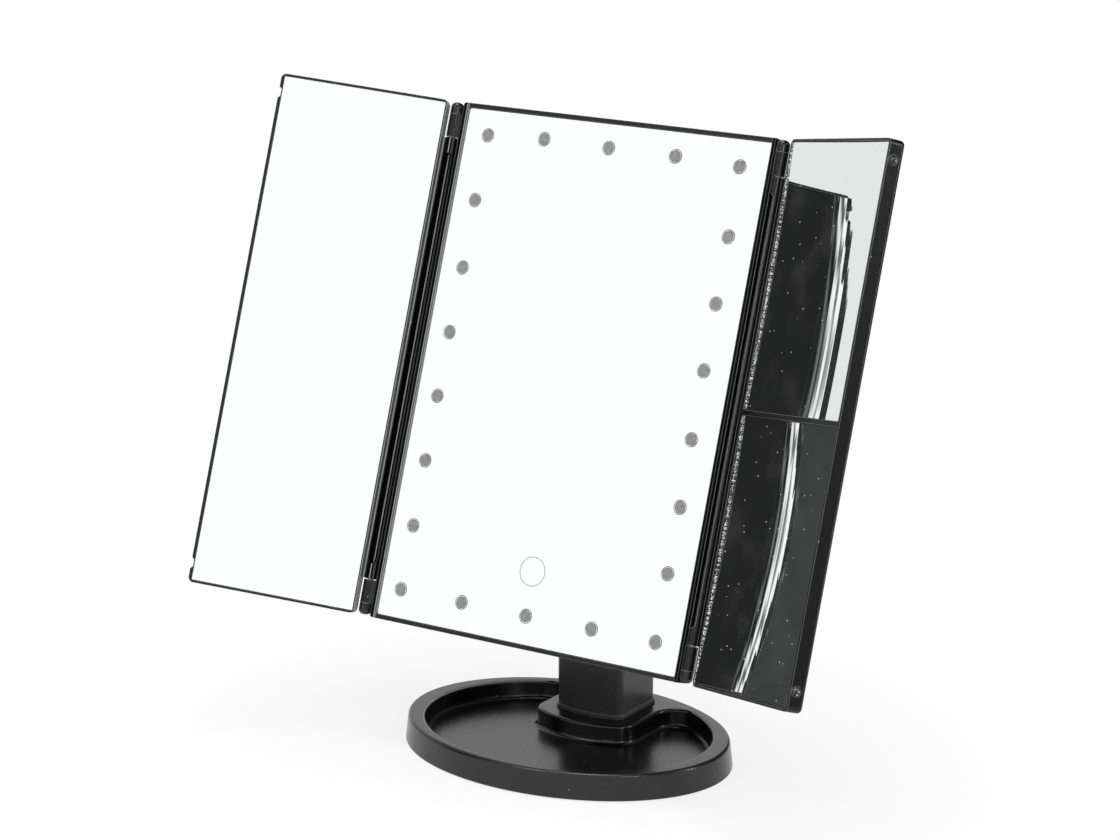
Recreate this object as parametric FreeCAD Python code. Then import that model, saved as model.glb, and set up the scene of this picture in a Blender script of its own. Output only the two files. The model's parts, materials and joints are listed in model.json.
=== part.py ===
import FreeCAD, Part
import math
import os

# Lighted folding makeup mirror. Millimetres and degrees, +Z up, the mirror faces -Y.
# The origin is the middle of the flat underside of the non-slip pad.

# Overrun of every cut past the face it leaves, and the tolerance that picks edges by place
overrun = 2.0
place_tolerance = 0.001

# Base: an oval tray with a raised block at its rear
base_width = 162.0
base_depth = 119.0
base_height = 12.6
base_draft = 1.4
base_lift = 0.6
base_wall = 2.2
rim_edge_radius = 1.5
rim_side = 10.5
rim_end = 5.2
tray_floor = 3.6
floor_thickness = 2.0
tray_edge_radius = 1.3
tray_floor_radius = 2.2
block_width = 52.4
block_front = 4.6
block_bow_radius = 48.0
block_corner = 9.0
pocket_corner = 10.5
pad_clearance = 0.3

# Post: a hollow column with a bowed front, a collar at its foot and a plug that sits in the block
post_width = 35.4
post_depth = 34.8
post_corner = 4.0
post_middle = 31.8
post_bow_radius = 45.0
post_wall = 2.4
collar_step = 0.8
collar_height = 1.6
plug_step = 1.8
plug_clearance = 0.2
socket_floor = 2.6
slope_start = 72.0
shoulder_height = 99.0
shoulder_rear = 37.0
post_boss_radius = 3.2
post_boss_height = 13.0

# Tilt joint at the top of the post
pivot_place = 26.0
pivot_height = 112.0
pivot_below_centre = 50.2
pivot_behind_face = 43.5
rest_tilt = 19.3
tongue_width = 22.0
tongue_radius = 10.0
bolt_radius = 2.5
bolt_head_radius = 4.5
bolt_head_height = 3.0
nut_across_corners = 9.2
nut_height = 3.6
nut_sides = 6
washer_radius = 8.0
washer_thickness = 0.5
ear_thickness = 5.0
ear_radius = 9.5
bracket_width = 40.0
bracket_height = 34.0
bracket_thickness = 3.0
bracket_corner = 3.0

# Fits
running_clearance = 0.05
seat_clearance = 0.02
slide_clearance = 0.15
hinge_end_gap = 0.4

# Middle frame
frame_width = 166.8
frame_height = 241.3
frame_depth = 7.0
frame_wall = 2.0
frame_corner = 1.4
lip_proud = 0.8
lip_side = 3.1
lip_top = 2.1
lip_bottom = 2.0
glass_thickness = 2.0
tape_thickness = 0.8
tape_width = 3.6
ledge_thickness = 2.0
ledge_side = 25.0
ledge_end = 28.6
glass_clearance = 0.2
glass_corner = 1.0

# Light dots: five across and eight down, on the mirror's border only
dots_across = 5
dots_down = 8
dots_from_side = 15.4
dots_from_end = 14.6
dots_left_of_middle = 1.4
dots_above_middle = 0.55
light_hole_radius = 3.4
top_row_slip_shares = (0.0, -0.075, -0.04, 0.0, 0.0)
top_row_lift_shares = (0.0, 0.06, 0.04, 0.03, 0.0)
strip_width = 8.0
strip_thickness = 0.8
strip_gap = 0.5
chip_width = 3.5
chip_height = 2.8
chip_thickness = 0.9
touch_from_end = 34.95
touch_foil_radius = 6.0
touch_foil_thickness = 0.3

# Rear cover and its battery housing
cover_thickness = 2.0
cover_inset = 0.2
cover_edge_radius = 1.0
housing_width = 92.0
housing_top = 34.0
housing_bottom = 72.0
housing_back = 24.0
housing_corner = 7.0
housing_edge_radius = 3.0
housing_wall = 2.0
housing_back_wall = 3.5
cover_boss_radius = 2.6
cover_boss_from_side = 6.6
cover_boss_from_end = 6.3
cover_screw_radius = 1.0
cover_screw_head_radius = 1.9
cover_screw_head_height = 1.2

# Battery bay, four AAA cells side by side, and its sliding door
cell_radius = 5.2
cell_length = 43.7
cell_nub_radius = 1.9
cell_nub_length = 0.8
cell_pitch = 11.2
cell_count = 4
cell_clearance = 0.3
contact_thickness = 0.4
contact_width = 8.6
spring_radius = 3.0
spring_length = 4.0
spring_tip_share = 0.5
spring_bore_share = 0.5
bay_wall = 1.5
bay_floor = 10.0
bay_bottom = 23.0
door_thickness = 1.8
door_side_lap = 3.0
door_end_lap = 2.6
rail_width = 1.0
rail_height = 0.8
door_grip_count = 5
door_grip_pitch = 2.4
door_grip_width = 1.0
door_grip_depth = 0.5
door_grip_length = 18.0

# Control board, socket and slide switch
board_width = 36.0
board_top = 46.0
board_bottom = 69.4
board_front = 14.0
board_thickness = 1.2
board_post_radius = 2.2
board_post_spread = 16.0
board_post_inset = 3.0
board_screw_radius = 0.9
board_screw_head_radius = 1.7
board_screw_head_height = 1.0
board_screw_length = 4.0
socket_width = 7.8
socket_depth = 2.8
socket_length = 6.2
socket_wall = 0.4
socket_proud = 0.2
switch_offset = 37.0
switch_level = 4.0
switch_body_width = 6.0
switch_body_height = 14.0
switch_body_depth = 7.0
knob_width = 3.0
knob_height = 4.2
knob_travel = 4.0
knob_proud = 1.4
knob_root = 0.2
knob_groove_share = 0.35
wire_radius = 0.5
wire_bend_share = 0.45
supply_wire_spread = 16.0
light_wire_spread = 3.0
light_wire_offset = 6.0
light_wire_drop = 10.0
touch_wire_drop = 12.0
touch_wire_depth = 5.0

# Bracket screws
bracket_screw_radius = 1.5
bracket_screw_head_radius = 2.6
bracket_screw_head_height = 1.4
bracket_screw_length = 8.0
bracket_screw_spread = 30.0
bracket_screw_rise = 26.0
bracket_boss_radius = 3.2
bracket_boss_height = 2.0

# Cross recess of every screw head, as shares of the head
cross_reach_share = 0.6
cross_width_share = 0.28
cross_depth_share = 0.6

# Post screws
post_screw_radius = 1.5
post_screw_head_radius = 2.7
post_screw_head_height = 1.3
post_screw_length = 11.0

# Wing hinges
axis_proud = 1.0
knuckle_radius = 2.95
knuckle_length = 16.8
knuckle_groove = 0.8
cap_length = 6.0
cap_edge_radius = 2.2
cap_drop = 0.6
barrel_radius = 2.7
barrel_end_length = 7.2
trough_width = 4.2
trough_floor = 0.5
web_front = 0.9
web_thickness = 2.2
pin_radius = 1.25
pin_grip = 6.0
pin_cap_depth = 3.4

# Wings
wing_inner = 5.2
wings_closed_gap = 0.5
wing_set_back = 0.5
wing_thickness = 7.5
wing_corner = 2.5
wing_edge_radius = 1.6
wing_floor = 2.0
wing_lip_hinge = 0.8
wing_lip_outer = 1.6
wing_lip_end = 1.15
wing_lip_proud = 0.5
wing_ledge = 4.0
cell_column_count = 2
cell_row_count = 5
wing_rib = 2.0
divider_width = 2.4
sheet_thickness = 1.2
sheet_recess = 1.2
upper_bend_depth = 0.774
lower_bend_depth = 0.81
deepest_from_middle = 15.4
fold_left = 20.7
fold_right = 31.1

# Catches on the outer edges of the wings
catch_from_end = 9.0
notch_length = 5.2
notch_floor_length = 3.2
notch_depth = 1.1
notch_reach = 5.0
nub_radius = 2.3
nub_proud = 0.8
nub_set_back = 0.3
nub_edge_radius = 0.4

Vector = FreeCAD.Vector
ORIGIN = Vector(0, 0, 0)
X_AXIS = Vector(1, 0, 0)
Y_AXIS = Vector(0, 1, 0)
Z_AXIS = Vector(0, 0, 1)
PARALLEL = 0.999
SIDES = (-1, 1)
parts = {}


# Plain solids

def block(x_low, x_high, y_low, y_high, z_low, z_high):
    corner = Vector(x_low, y_low, z_low)
    return Part.makeBox(x_high - x_low, y_high - y_low, z_high - z_low, corner)


def rod(radius, start, end):
    axis = end.sub(start)
    return Part.makeCylinder(radius, axis.Length, start, axis)


def edges_along(shape, axis):
    """The straight edges that run along an axis."""
    spans = [(edge, edge.lastVertex().Point.sub(edge.firstVertex().Point)) for edge in shape.Edges]
    straight = [(edge, span) for edge, span in spans if edge.Length - span.Length < place_tolerance]
    return [edge for edge, span in straight if abs(span.dot(axis)) > PARALLEL * span.Length]


def edges_at_depth(shape, depth):
    """The edges that lie in the plane y = depth."""
    boxes = [(edge, edge.BoundBox) for edge in shape.Edges]
    near = [(edge, box) for edge, box in boxes if abs(box.YMin - depth) < place_tolerance]
    return [edge for edge, box in near if abs(box.YMax - depth) < place_tolerance]


def edges_at_height(shape, height):
    """The edges that lie in the plane z = height."""
    boxes = [(edge, edge.BoundBox) for edge in shape.Edges]
    near = [(edge, box) for edge, box in boxes if abs(box.ZMin - height) < place_tolerance]
    return [edge for edge, box in near if abs(box.ZMax - height) < place_tolerance]


def slab(x_low, x_high, z_low, z_high, corner, y_low, y_high):
    """A slab that faces -Y, with rounded corners."""
    solid = block(x_low, x_high, y_low, y_high, z_low, z_high)
    return solid.makeFillet(corner, edges_along(solid, Y_AXIS))


def prism(points, sweep):
    """A prism on a polygon of points."""
    outline = Part.makePolygon(list(points) + [points[0]])
    return Part.Face(outline).extrude(sweep)


def fuse_all(solids):
    return solids[0].multiFuse(solids[1:]).removeSplitter()


def cut_all(solid, cutters):
    return solid.cut(Part.makeCompound(cutters))


def screw(radius, length, head_radius, head_height, head_face, axis):
    """A flat-headed screw: its head's outer face is at head_face and its shank runs along axis."""
    head_end = head_face.add(axis * head_height)
    head = rod(head_radius, head_face, head_end)
    shank = rod(radius, head_end, head_end.add(axis * length))
    return head.fuse(shank).removeSplitter()


def cross_recess(head_radius, head_height, head_face, axis):
    """The cross that the driver fits, cut into a screw's head."""
    reach = head_radius * cross_reach_share
    half = head_radius * cross_width_share / 2
    floor = head_height * cross_depth_share
    across = block(-reach, reach, -half, half, -overrun, floor)
    along = block(-half, half, -reach, reach, -overrun, floor)
    cross = across.fuse(along)
    cross.Placement = FreeCAD.Placement(head_face, FreeCAD.Rotation(Z_AXIS, axis))
    return cross


def cross_screw(radius, length, head_radius, head_height, head_face, axis):
    plain = screw(radius, length, head_radius, head_height, head_face, axis)
    return plain.cut(cross_recess(head_radius, head_height, head_face, axis))


def screw_hole(radius, depth, head_radius, head_height, place):
    """The hole for a screw driven towards -Y through a wall, with its head let in flush."""
    head = rod(head_radius + seat_clearance, place - Y_AXIS * head_height, place + Y_AXIS * overrun)
    shank = rod(radius + seat_clearance, place - Y_AXIS * (depth + overrun), place)
    return [head, shank]


# Places: the head is built upright about the middle of its mirror's face, then tilted on the pivot

def in_head(shape):
    placed = shape.copy()
    placed.translate(Vector(0, -pivot_behind_face, pivot_below_centre))
    placed.rotate(ORIGIN, X_AXIS, -rest_tilt)
    placed.translate(Vector(0, pivot_place, pivot_height))
    return placed


def in_wing(shape, side, fold):
    """A wing is built along +X from its hinge axis, mirrored for the left, then folded forward."""
    placed = shape.copy() if side > 0 else shape.mirror(ORIGIN, X_AXIS)
    placed.rotate(ORIGIN, Z_AXIS, -side * fold)
    placed.translate(Vector(side * hinge_side, -axis_proud, 0))
    return in_head(placed)


# Base

tray_width = base_width - 2 * rim_side
tray_depth = base_depth - 2 * rim_end
pad_thickness = tray_floor - floor_thickness
plug_bottom = pad_thickness + socket_floor
plug_corner = post_corner - plug_step
post_front = post_middle - post_depth / 2
post_rear = post_middle + post_depth / 2
hollow_step = plug_step + post_wall
post_screw_spread = post_width - 2 * hollow_step - 2 * post_boss_radius


def post_slice(step, corner, z_low, z_high):
    """A slice of the post with its bowed front, drawn in all round by a step."""
    half = post_width / 2 - step
    solid = block(-half, half, post_front - post_wall, post_rear - step, z_low, z_high)
    drum_foot = Vector(0, post_front + post_bow_radius, z_low)
    solid = solid.common(Part.makeCylinder(post_bow_radius - step, z_high - z_low, drum_foot))
    return solid.makeFillet(corner, edges_along(solid, Z_AXIS))


def oval(width, depth, height):
    return Part.Wire(Part.Ellipse(Vector(0, 0, height), width / 2, depth / 2).toShape())


def oval_wall(inset, z_low, z_high):
    """The drafted outside of the base, drawn in by inset, between two heights."""
    lean = base_draft / (base_height - base_lift)
    wires = []
    for height in (z_low, z_high):
        shrink = 2 * inset + 2 * lean * (height - base_lift)
        wires.append(oval(base_width - shrink, base_depth - shrink, height))
    return Part.makeLoft(wires, True, True)


def side_edges(shape, x):
    """The upright edges that stand at a distance x to either side."""
    upright = edges_along(shape, Z_AXIS)
    return [edge for edge in upright if abs(abs(edge.CenterOfMass.x) - x) < place_tolerance]


def tray_hollow(grow, z_low, z_high):
    """The tray's recess: an oval that leaves the block standing, grown by the wall round it."""
    face = Part.Face(oval(tray_width + 2 * grow, tray_depth + 2 * grow, z_low))
    half_block = block_width / 2 - grow
    kept = block(-half_block, half_block, block_front, tray_depth, z_low - overrun, z_high + overrun)
    drum_foot = Vector(0, block_front + block_bow_radius, z_low - overrun)
    drum = Part.makeCylinder(block_bow_radius - grow, z_high - z_low + 2 * overrun, drum_foot)
    hollow = face.extrude(Vector(0, 0, z_high - z_low)).cut(kept.common(drum))
    fronts = [edge for edge in side_edges(hollow, half_block) if edge.CenterOfMass.y < tray_depth / 4]
    hollow = hollow.makeFillet(block_corner - grow, fronts)
    rears = [edge for edge in side_edges(hollow, half_block) if edge.CenterOfMass.y > tray_depth / 4]
    return hollow.makeFillet(pocket_corner + grow, rears)


def post_screw_places(height):
    return [Vector(side * post_screw_spread / 2, post_middle, height) for side in SIDES]


def make_base_tray():
    outside = oval_wall(0, base_lift, base_height)
    outside = outside.makeFillet(rim_edge_radius, edges_at_height(outside, base_height))
    recess = tray_hollow(0, tray_floor, base_height + overrun)
    recess = recess.makeFillet(tray_floor_radius, edges_at_height(recess, tray_floor))
    tray = outside.cut(recess)
    inner_rim = [edge for edge in edges_at_height(tray, base_height)
                 if edge.BoundBox.XMax < tray_width / 2 + place_tolerance
                 and edge.BoundBox.YMax < tray_depth / 2
                 and edge.BoundBox.YMin > -tray_depth / 2 - place_tolerance]
    tray = tray.makeFillet(tray_edge_radius, inner_rim)
    under = oval_wall(base_wall, base_lift - overrun, base_height - base_wall)
    under = under.cut(tray_hollow(base_wall, pad_thickness, base_height))
    socket = post_slice(plug_step - base_wall, plug_corner + base_wall, pad_thickness, base_height)
    under = under.cut(socket)
    plug_hole = post_slice(plug_step - plug_clearance, plug_corner + plug_clearance, plug_bottom,
                           base_height + overrun)
    cutters = [under, plug_hole]
    for place in post_screw_places(pad_thickness):
        head_top = place + Z_AXIS * (post_screw_head_height + seat_clearance)
        cutters.append(rod(post_screw_head_radius + plug_clearance, place - Z_AXIS * overrun, head_top))
        cutters.append(rod(post_screw_radius + plug_clearance, place, place + Z_AXIS * plug_bottom))
    return cut_all(tray, cutters)


def make_non_slip_pad():
    inset = 2 * (base_wall + pad_clearance) + 2 * base_draft
    face = Part.Face(oval(base_width - inset, base_depth - inset, 0))
    return face.extrude(Vector(0, 0, pad_thickness))


def pivot_point(x):
    return Vector(x, pivot_place, pivot_height)


def make_post():
    body = post_slice(0, post_corner, base_height, shoulder_height)
    slope = [Vector(-post_width, post_rear, slope_start),
             Vector(-post_width, shoulder_rear, shoulder_height),
             Vector(-post_width, shoulder_rear, shoulder_height + overrun),
             Vector(-post_width, post_rear + overrun, shoulder_height + overrun),
             Vector(-post_width, post_rear + overrun, slope_start)]
    body = body.cut(prism(slope, X_AXIS * (2 * post_width)))
    collar = post_slice(-collar_step, post_corner + collar_step, base_height, base_height + collar_height)
    collar = collar.makeFillet(collar_step / 2, edges_at_height(collar, base_height + collar_height))
    plug = post_slice(plug_step, plug_corner, plug_bottom, base_height)
    side = tongue_width / 2
    sunk = shoulder_height - overrun
    neck = [Vector(-side, post_front + overrun, sunk),
            Vector(-side, shoulder_rear - overrun, sunk),
            Vector(-side, shoulder_rear - overrun, shoulder_height),
            Vector(-side, pivot_place + tongue_radius, pivot_height),
            Vector(-side, pivot_place - tongue_radius, pivot_height),
            Vector(-side, post_front + overrun, shoulder_height)]
    barrel = rod(tongue_radius, pivot_point(-side), pivot_point(side))
    post = fuse_all([body, collar, plug, prism(neck, X_AXIS * tongue_width), barrel])
    hollow = post_slice(hollow_step, post_wall, plug_bottom - overrun, slope_start)
    bosses = []
    for place in post_screw_places(plug_bottom):
        boss = rod(post_boss_radius, place, place + Z_AXIS * post_boss_height)
        hole = rod(post_screw_radius + seat_clearance, place, place + Z_AXIS * post_boss_height)
        stay = block(min(0, place.x * 2), max(0, place.x * 2), place.y - post_wall / 2,
                     place.y + post_wall / 2, plug_bottom, plug_bottom + post_boss_height)
        bosses.append(boss.fuse(stay.common(hollow)).cut(hole))
    hollow = hollow.cut(Part.makeCompound(bosses))
    bolt_hole = rod(bolt_radius + seat_clearance, pivot_point(-post_width), pivot_point(post_width))
    return cut_all(post, [hollow, bolt_hole])


def make_post_screws():
    screws = [cross_screw(post_screw_radius, post_screw_length, post_screw_head_radius,
                          post_screw_head_height, place, Z_AXIS)
              for place in post_screw_places(pad_thickness)]
    return Part.makeCompound(screws)


# Tilt joint

ear_inside = tongue_width / 2 + washer_thickness
ear_outside = ear_inside + ear_thickness


def make_tilt_bolt():
    head_face = pivot_point(-ear_outside - running_clearance - bolt_head_height)
    length = 2 * (ear_outside + running_clearance) + nut_height
    return screw(bolt_radius, length, bolt_head_radius, bolt_head_height, head_face, X_AXIS)


def make_tilt_nut():
    face = ear_outside + running_clearance
    turns = [math.radians(360 * corner / nut_sides) for corner in range(nut_sides)]
    reach = nut_across_corners / 2
    corners = [pivot_point(face) + Vector(0, reach * math.cos(turn), reach * math.sin(turn))
               for turn in turns]
    nut = prism(corners, X_AXIS * nut_height)
    end = pivot_point(face + nut_height + overrun)
    return nut.cut(rod(bolt_radius + seat_clearance, pivot_point(0), end))


def make_friction_washers():
    washers = []
    for side in SIDES:
        start = pivot_point(side * tongue_width / 2)
        end = pivot_point(side * (ear_inside - running_clearance))
        ring = rod(washer_radius, start, end)
        washers.append(ring.cut(rod(bolt_radius + seat_clearance, start, end)))
    return Part.makeCompound(washers)


# Middle frame, mirror and lights

frame_side = frame_width / 2
frame_end = frame_height / 2
hinge_side = frame_side + knuckle_radius
dot_pitch_across = (frame_width - 2 * dots_from_side) / (dots_across - 1)
dot_pitch_down = (frame_height - 2 * dots_from_end) / (dots_down - 1)
touch_below_middle = frame_end - touch_from_end
opening_side = frame_side - lip_side
opening_top = frame_end - lip_top
opening_bottom = -frame_end + lip_bottom
ledge_front = glass_thickness + tape_thickness
ledge_back = ledge_front + ledge_thickness
knuckle_end = frame_end - knuckle_length
cap_start = frame_end - cap_length


def dot_places():
    """Middle of each light dot as (x, z), on the border of the dot grid only."""
    left = -dots_left_of_middle - dot_pitch_across * (dots_across - 1) / 2
    top = dots_above_middle + dot_pitch_down * (dots_down - 1) / 2
    places = []
    for row in range(dots_down):
        for place in range(dots_across):
            on_border = row in (0, dots_down - 1) or place in (0, dots_across - 1)
            slip = top_row_slip_shares[place] if row == 0 else 0
            lift = top_row_lift_shares[place] if row == 0 else 0
            x = left + dot_pitch_across * (place + slip)
            z = top - dot_pitch_down * (row - lift)
            if on_border:
                places.append((x, z))
    return places


def cover_screw_places(depth):
    """Six screws join the cover to the frame: four near the corners and two at mid height."""
    across = frame_side - cover_boss_from_side
    up = frame_end - cover_boss_from_end
    return [Vector(side * across, depth, level) for side in SIDES for level in (-up, 0, up)]


def hinge_rod(radius, side, z_low, z_high):
    start = Vector(side * hinge_side, -axis_proud, z_low)
    end = Vector(side * hinge_side, -axis_proud, z_high)
    return rod(radius, start, end)


def knuckle_web(side, x_inner, z_low, z_high):
    """Joins a knuckle to the frame's side, below the groove beside the mirror's strip."""
    low = min(side * x_inner, side * hinge_side)
    high = max(side * x_inner, side * hinge_side)
    return block(low, high, knuckle_groove - axis_proud, knuckle_radius - axis_proud, z_low, z_high)


def make_centre_frame():
    frame = slab(-frame_side, frame_side, -frame_end, frame_end, frame_corner, -lip_proud, frame_depth)
    pocket = slab(-opening_side, opening_side, opening_bottom, opening_top, glass_corner,
                  -lip_proud - overrun, ledge_front)
    back = slab(-frame_side + frame_wall, frame_side - frame_wall, -frame_end + frame_wall,
                frame_end - frame_wall, frame_corner, ledge_back, frame_depth + overrun)
    window = block(-frame_side + ledge_side, frame_side - ledge_side, 0, frame_depth,
                   -frame_end + ledge_end, frame_end - ledge_end)
    holes = [rod(light_hole_radius, Vector(x, 0, z), Vector(x, frame_depth, z)) for x, z in dot_places()]
    frame = cut_all(frame, [pocket, back, window] + holes)
    added = [frame]
    drilled = []
    for place in cover_screw_places(ledge_back):
        seat = place + Y_AXIS * (frame_depth - ledge_back)
        added.append(rod(cover_boss_radius, place - Y_AXIS * (ledge_thickness / 2), seat))
        drilled.append(rod(cover_screw_radius + seat_clearance, place, seat + Y_AXIS * overrun))
    for side in SIDES:
        for low, high in ((knuckle_end, cap_start), (-cap_start, -knuckle_end)):
            added.append(hinge_rod(knuckle_radius, side, low, high))
            added.append(knuckle_web(side, frame_side - frame_wall, low, high))
            drilled.append(hinge_rod(pin_radius + seat_clearance, side, low - overrun, high + overrun))
    return cut_all(fuse_all(added), drilled)


def make_hinge_caps(side):
    """Round-ended caps that close both knuckles of one side."""
    caps = []
    for end in SIDES:
        start = end * cap_start
        finish = end * (frame_end - cap_drop)
        low, high = min(start, finish), max(start, finish)
        cap = hinge_rod(knuckle_radius, side, low, high)
        cap = cap.makeFillet(cap_edge_radius, edges_at_height(cap, finish))
        web = knuckle_web(side, frame_side, low + max(0, -end) * cap_edge_radius,
                          high - max(0, end) * cap_edge_radius)
        hole = hinge_rod(pin_radius + seat_clearance, side, min(start, start + end * pin_cap_depth),
                         max(start, start + end * pin_cap_depth))
        caps.append(fuse_all([cap, web]).cut(hole))
    return Part.makeCompound(caps)


def make_hinge_pins(side):
    inner = knuckle_end - hinge_end_gap - pin_grip
    outer = cap_start + pin_cap_depth
    pins = [hinge_rod(pin_radius, side, inner, outer), hinge_rod(pin_radius, side, -outer, -inner)]
    return Part.makeCompound(pins)


def make_centre_mirror():
    return slab(-opening_side + glass_clearance, opening_side - glass_clearance,
                opening_bottom + glass_clearance, opening_top - glass_clearance,
                glass_corner, 0, glass_thickness)


def make_mirror_tape():
    side = opening_side - 2 * glass_clearance
    top = opening_top - 2 * glass_clearance
    bottom = opening_bottom + 2 * glass_clearance
    ring = block(-side, side, glass_thickness, ledge_front, bottom, top)
    hole = block(-side + tape_width, side - tape_width, 0, frame_depth,
                 bottom + tape_width, top - tape_width)
    return ring.cut(hole)


def make_light_strips():
    """Two long strips down the sides and two short ones between them, stuck behind the ledge."""
    places = dot_places()
    left = min(x for x, z in places)
    right = max(x for x, z in places)
    top = dots_above_middle + dot_pitch_down * (dots_down - 1) / 2
    bottom = min(z for x, z in places)
    half = strip_width / 2
    back = ledge_back + strip_thickness
    strips = [block(x - half, x + half, ledge_back, back, bottom - half, top + half) for x in (left, right)]
    gap = half + strip_gap
    strips += [block(left + gap, right - gap, ledge_back, back, z - half, z + half) for z in (bottom, top)]
    return Part.makeCompound(strips)


def make_light_chips():
    chips = [block(x - chip_width / 2, x + chip_width / 2, ledge_back - chip_thickness, ledge_back,
                   z - chip_height / 2, z + chip_height / 2) for x, z in dot_places()]
    return Part.makeCompound(chips)


def make_touch_foil():
    middle = Vector(-dots_left_of_middle, glass_thickness, -touch_below_middle)
    return rod(touch_foil_radius, middle, middle + Y_AXIS * touch_foil_thickness)


# Rear cover

cover_back = frame_depth + cover_thickness
housing_side = housing_width / 2
housing_inside = housing_back - housing_back_wall
bay_half = cell_pitch * (cell_count - 1) / 2 + cell_radius + cell_clearance
bay_length = 2 * contact_thickness + spring_length + cell_length + cell_nub_length
bay_top = bay_length - bay_bottom
door_inside = housing_back - door_thickness
door_half = bay_half + door_side_lap
door_bottom = -bay_bottom - door_end_lap
knob_middle = switch_level - knob_travel / 2
slot_half_height = (knob_height + knob_travel) / 2 + slide_clearance


def bracket_screw_places(depth):
    x = bracket_screw_spread / 2
    z = bracket_screw_rise / 2
    return [Vector(across * x, depth, up * z - pivot_below_centre) for across in SIDES for up in SIDES]


def board_post_places(depth):
    return [Vector(across * board_post_spread / 2, depth, level) for across in SIDES
            for level in (-board_top - board_post_inset, -board_bottom + board_post_inset)]


def door_shape(grow):
    """The door's plate and its two side rails, grown by the clearance of the slot it slides in."""
    plate = block(-door_half - grow, door_half + grow, door_inside - grow, housing_back,
                  door_bottom - grow, housing_top)
    rails = [block(min(side * door_half, side * (door_half + rail_width + grow)),
                   max(side * door_half, side * (door_half + rail_width + grow)),
                   door_inside - grow, door_inside + rail_height + grow, door_bottom - grow, housing_top)
             for side in SIDES]
    return fuse_all([plate] + rails)


def housing_outside():
    housing = slab(-housing_side, housing_side, -housing_bottom, housing_top, housing_corner,
                   frame_depth, housing_back)
    return housing.makeFillet(housing_edge_radius, edges_at_depth(housing, housing_back))


def make_rear_cover():
    side = frame_side - cover_inset
    end = frame_end - cover_inset
    panel = slab(-side, side, -end, end, frame_corner, frame_depth, cover_back)
    panel = panel.makeFillet(cover_edge_radius, edges_at_depth(panel, cover_back))
    housing = housing_outside()
    room = slab(-housing_side + housing_wall, housing_side - housing_wall, -housing_bottom + housing_wall,
                housing_top - housing_wall, housing_corner - housing_wall,
                frame_depth - overrun, housing_inside)
    bay_case = block(-bay_half - bay_wall, bay_half + bay_wall, bay_floor - bay_wall, housing_inside,
                     -bay_bottom - bay_wall, min(bay_top + bay_wall, housing_top - housing_wall))
    inner = [bay_case]
    for place in bracket_screw_places(housing_inside):
        inner.append(rod(bracket_boss_radius, place - Y_AXIS * bracket_boss_height, place))
    for place in board_post_places(housing_inside):
        inner.append(rod(board_post_radius, Vector(place.x, board_front + board_thickness, place.z), place))
    room = room.cut(Part.makeCompound(inner))
    cutters = [room]
    cutters.append(block(-bay_half, bay_half, bay_floor, housing_back, -bay_bottom, bay_top))
    cutters.append(door_shape(slide_clearance))
    cutters.append(block(-door_half - slide_clearance, door_half + slide_clearance,
                         door_inside - slide_clearance, housing_back + overrun,
                         housing_top - housing_corner, housing_top + overrun))
    for place in cover_screw_places(cover_back):
        cutters += screw_hole(cover_screw_radius, cover_thickness, cover_screw_head_radius,
                              cover_screw_head_height, place)
    for place in bracket_screw_places(housing_back):
        end = place - Y_AXIS * bracket_screw_length
        cutters.append(rod(bracket_screw_radius + seat_clearance, end, place))
    for place in board_post_places(board_front + board_thickness):
        cutters.append(rod(board_screw_radius + seat_clearance, place, place + Y_AXIS * board_screw_length))
    cutters.append(block(-socket_width / 2 - slide_clearance, socket_width / 2 + slide_clearance,
                         board_front - socket_depth - slide_clearance, board_front + slide_clearance,
                         -housing_bottom - overrun, -housing_bottom + 2 * housing_wall))
    slot_side = knob_width / 2 + slide_clearance
    cutters.append(block(switch_offset - slot_side, switch_offset + slot_side,
                         housing_inside - overrun, housing_back + overrun,
                         switch_level - slot_half_height, switch_level + slot_half_height))
    return cut_all(fuse_all([panel, housing]), cutters)


def make_battery_door():
    door = door_shape(0).common(housing_outside())
    grips = []
    for step in range(door_grip_count):
        low = door_bottom + door_end_lap + step * door_grip_pitch
        grips.append(block(-door_grip_length / 2, door_grip_length / 2, housing_back - door_grip_depth,
                           housing_back + overrun, low, low + door_grip_width))
    return cut_all(door, grips)


def cell_places():
    first = -cell_pitch * (cell_count - 1) / 2
    middle = bay_floor + cell_clearance + cell_radius
    return [(first + cell_pitch * cell, middle, -1 if cell % 2 else 1) for cell in range(cell_count)]


def upright(x, y, turned, low, high):
    """A span of the bay, measured from a cell's spring end, as two points."""
    start = -bay_bottom if turned > 0 else bay_top
    return Vector(x, y, start + turned * low), Vector(x, y, start + turned * high)


def make_battery_cells():
    cells = []
    for x, y, turned in cell_places():
        seat = contact_thickness + spring_length
        top = seat + cell_length
        can = rod(cell_radius, *upright(x, y, turned, seat, top))
        nub = rod(cell_nub_radius, *upright(x, y, turned, top, top + cell_nub_length))
        cells.append(can.fuse(nub).removeSplitter())
    return Part.makeCompound(cells)


def make_battery_springs():
    springs = []
    for x, y, turned in cell_places():
        foot, top = upright(x, y, turned, contact_thickness, contact_thickness + spring_length)
        tip = spring_radius * spring_tip_share
        cone = Part.makeCone(spring_radius, tip, spring_length, foot, top.sub(foot))
        bore = Part.makeCone(spring_radius * spring_bore_share, tip * spring_bore_share, spring_length,
                             foot, top.sub(foot))
        springs.append(cone.cut(bore))
    return Part.makeCompound(springs)


def make_battery_contacts():
    half = contact_width / 2
    plates = []
    for x, y, turned in cell_places():
        for low in (-bay_bottom, bay_top - contact_thickness):
            plates.append(block(x - half, x + half, y - half, y + half, low, low + contact_thickness))
    return Part.makeCompound(plates)


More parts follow.
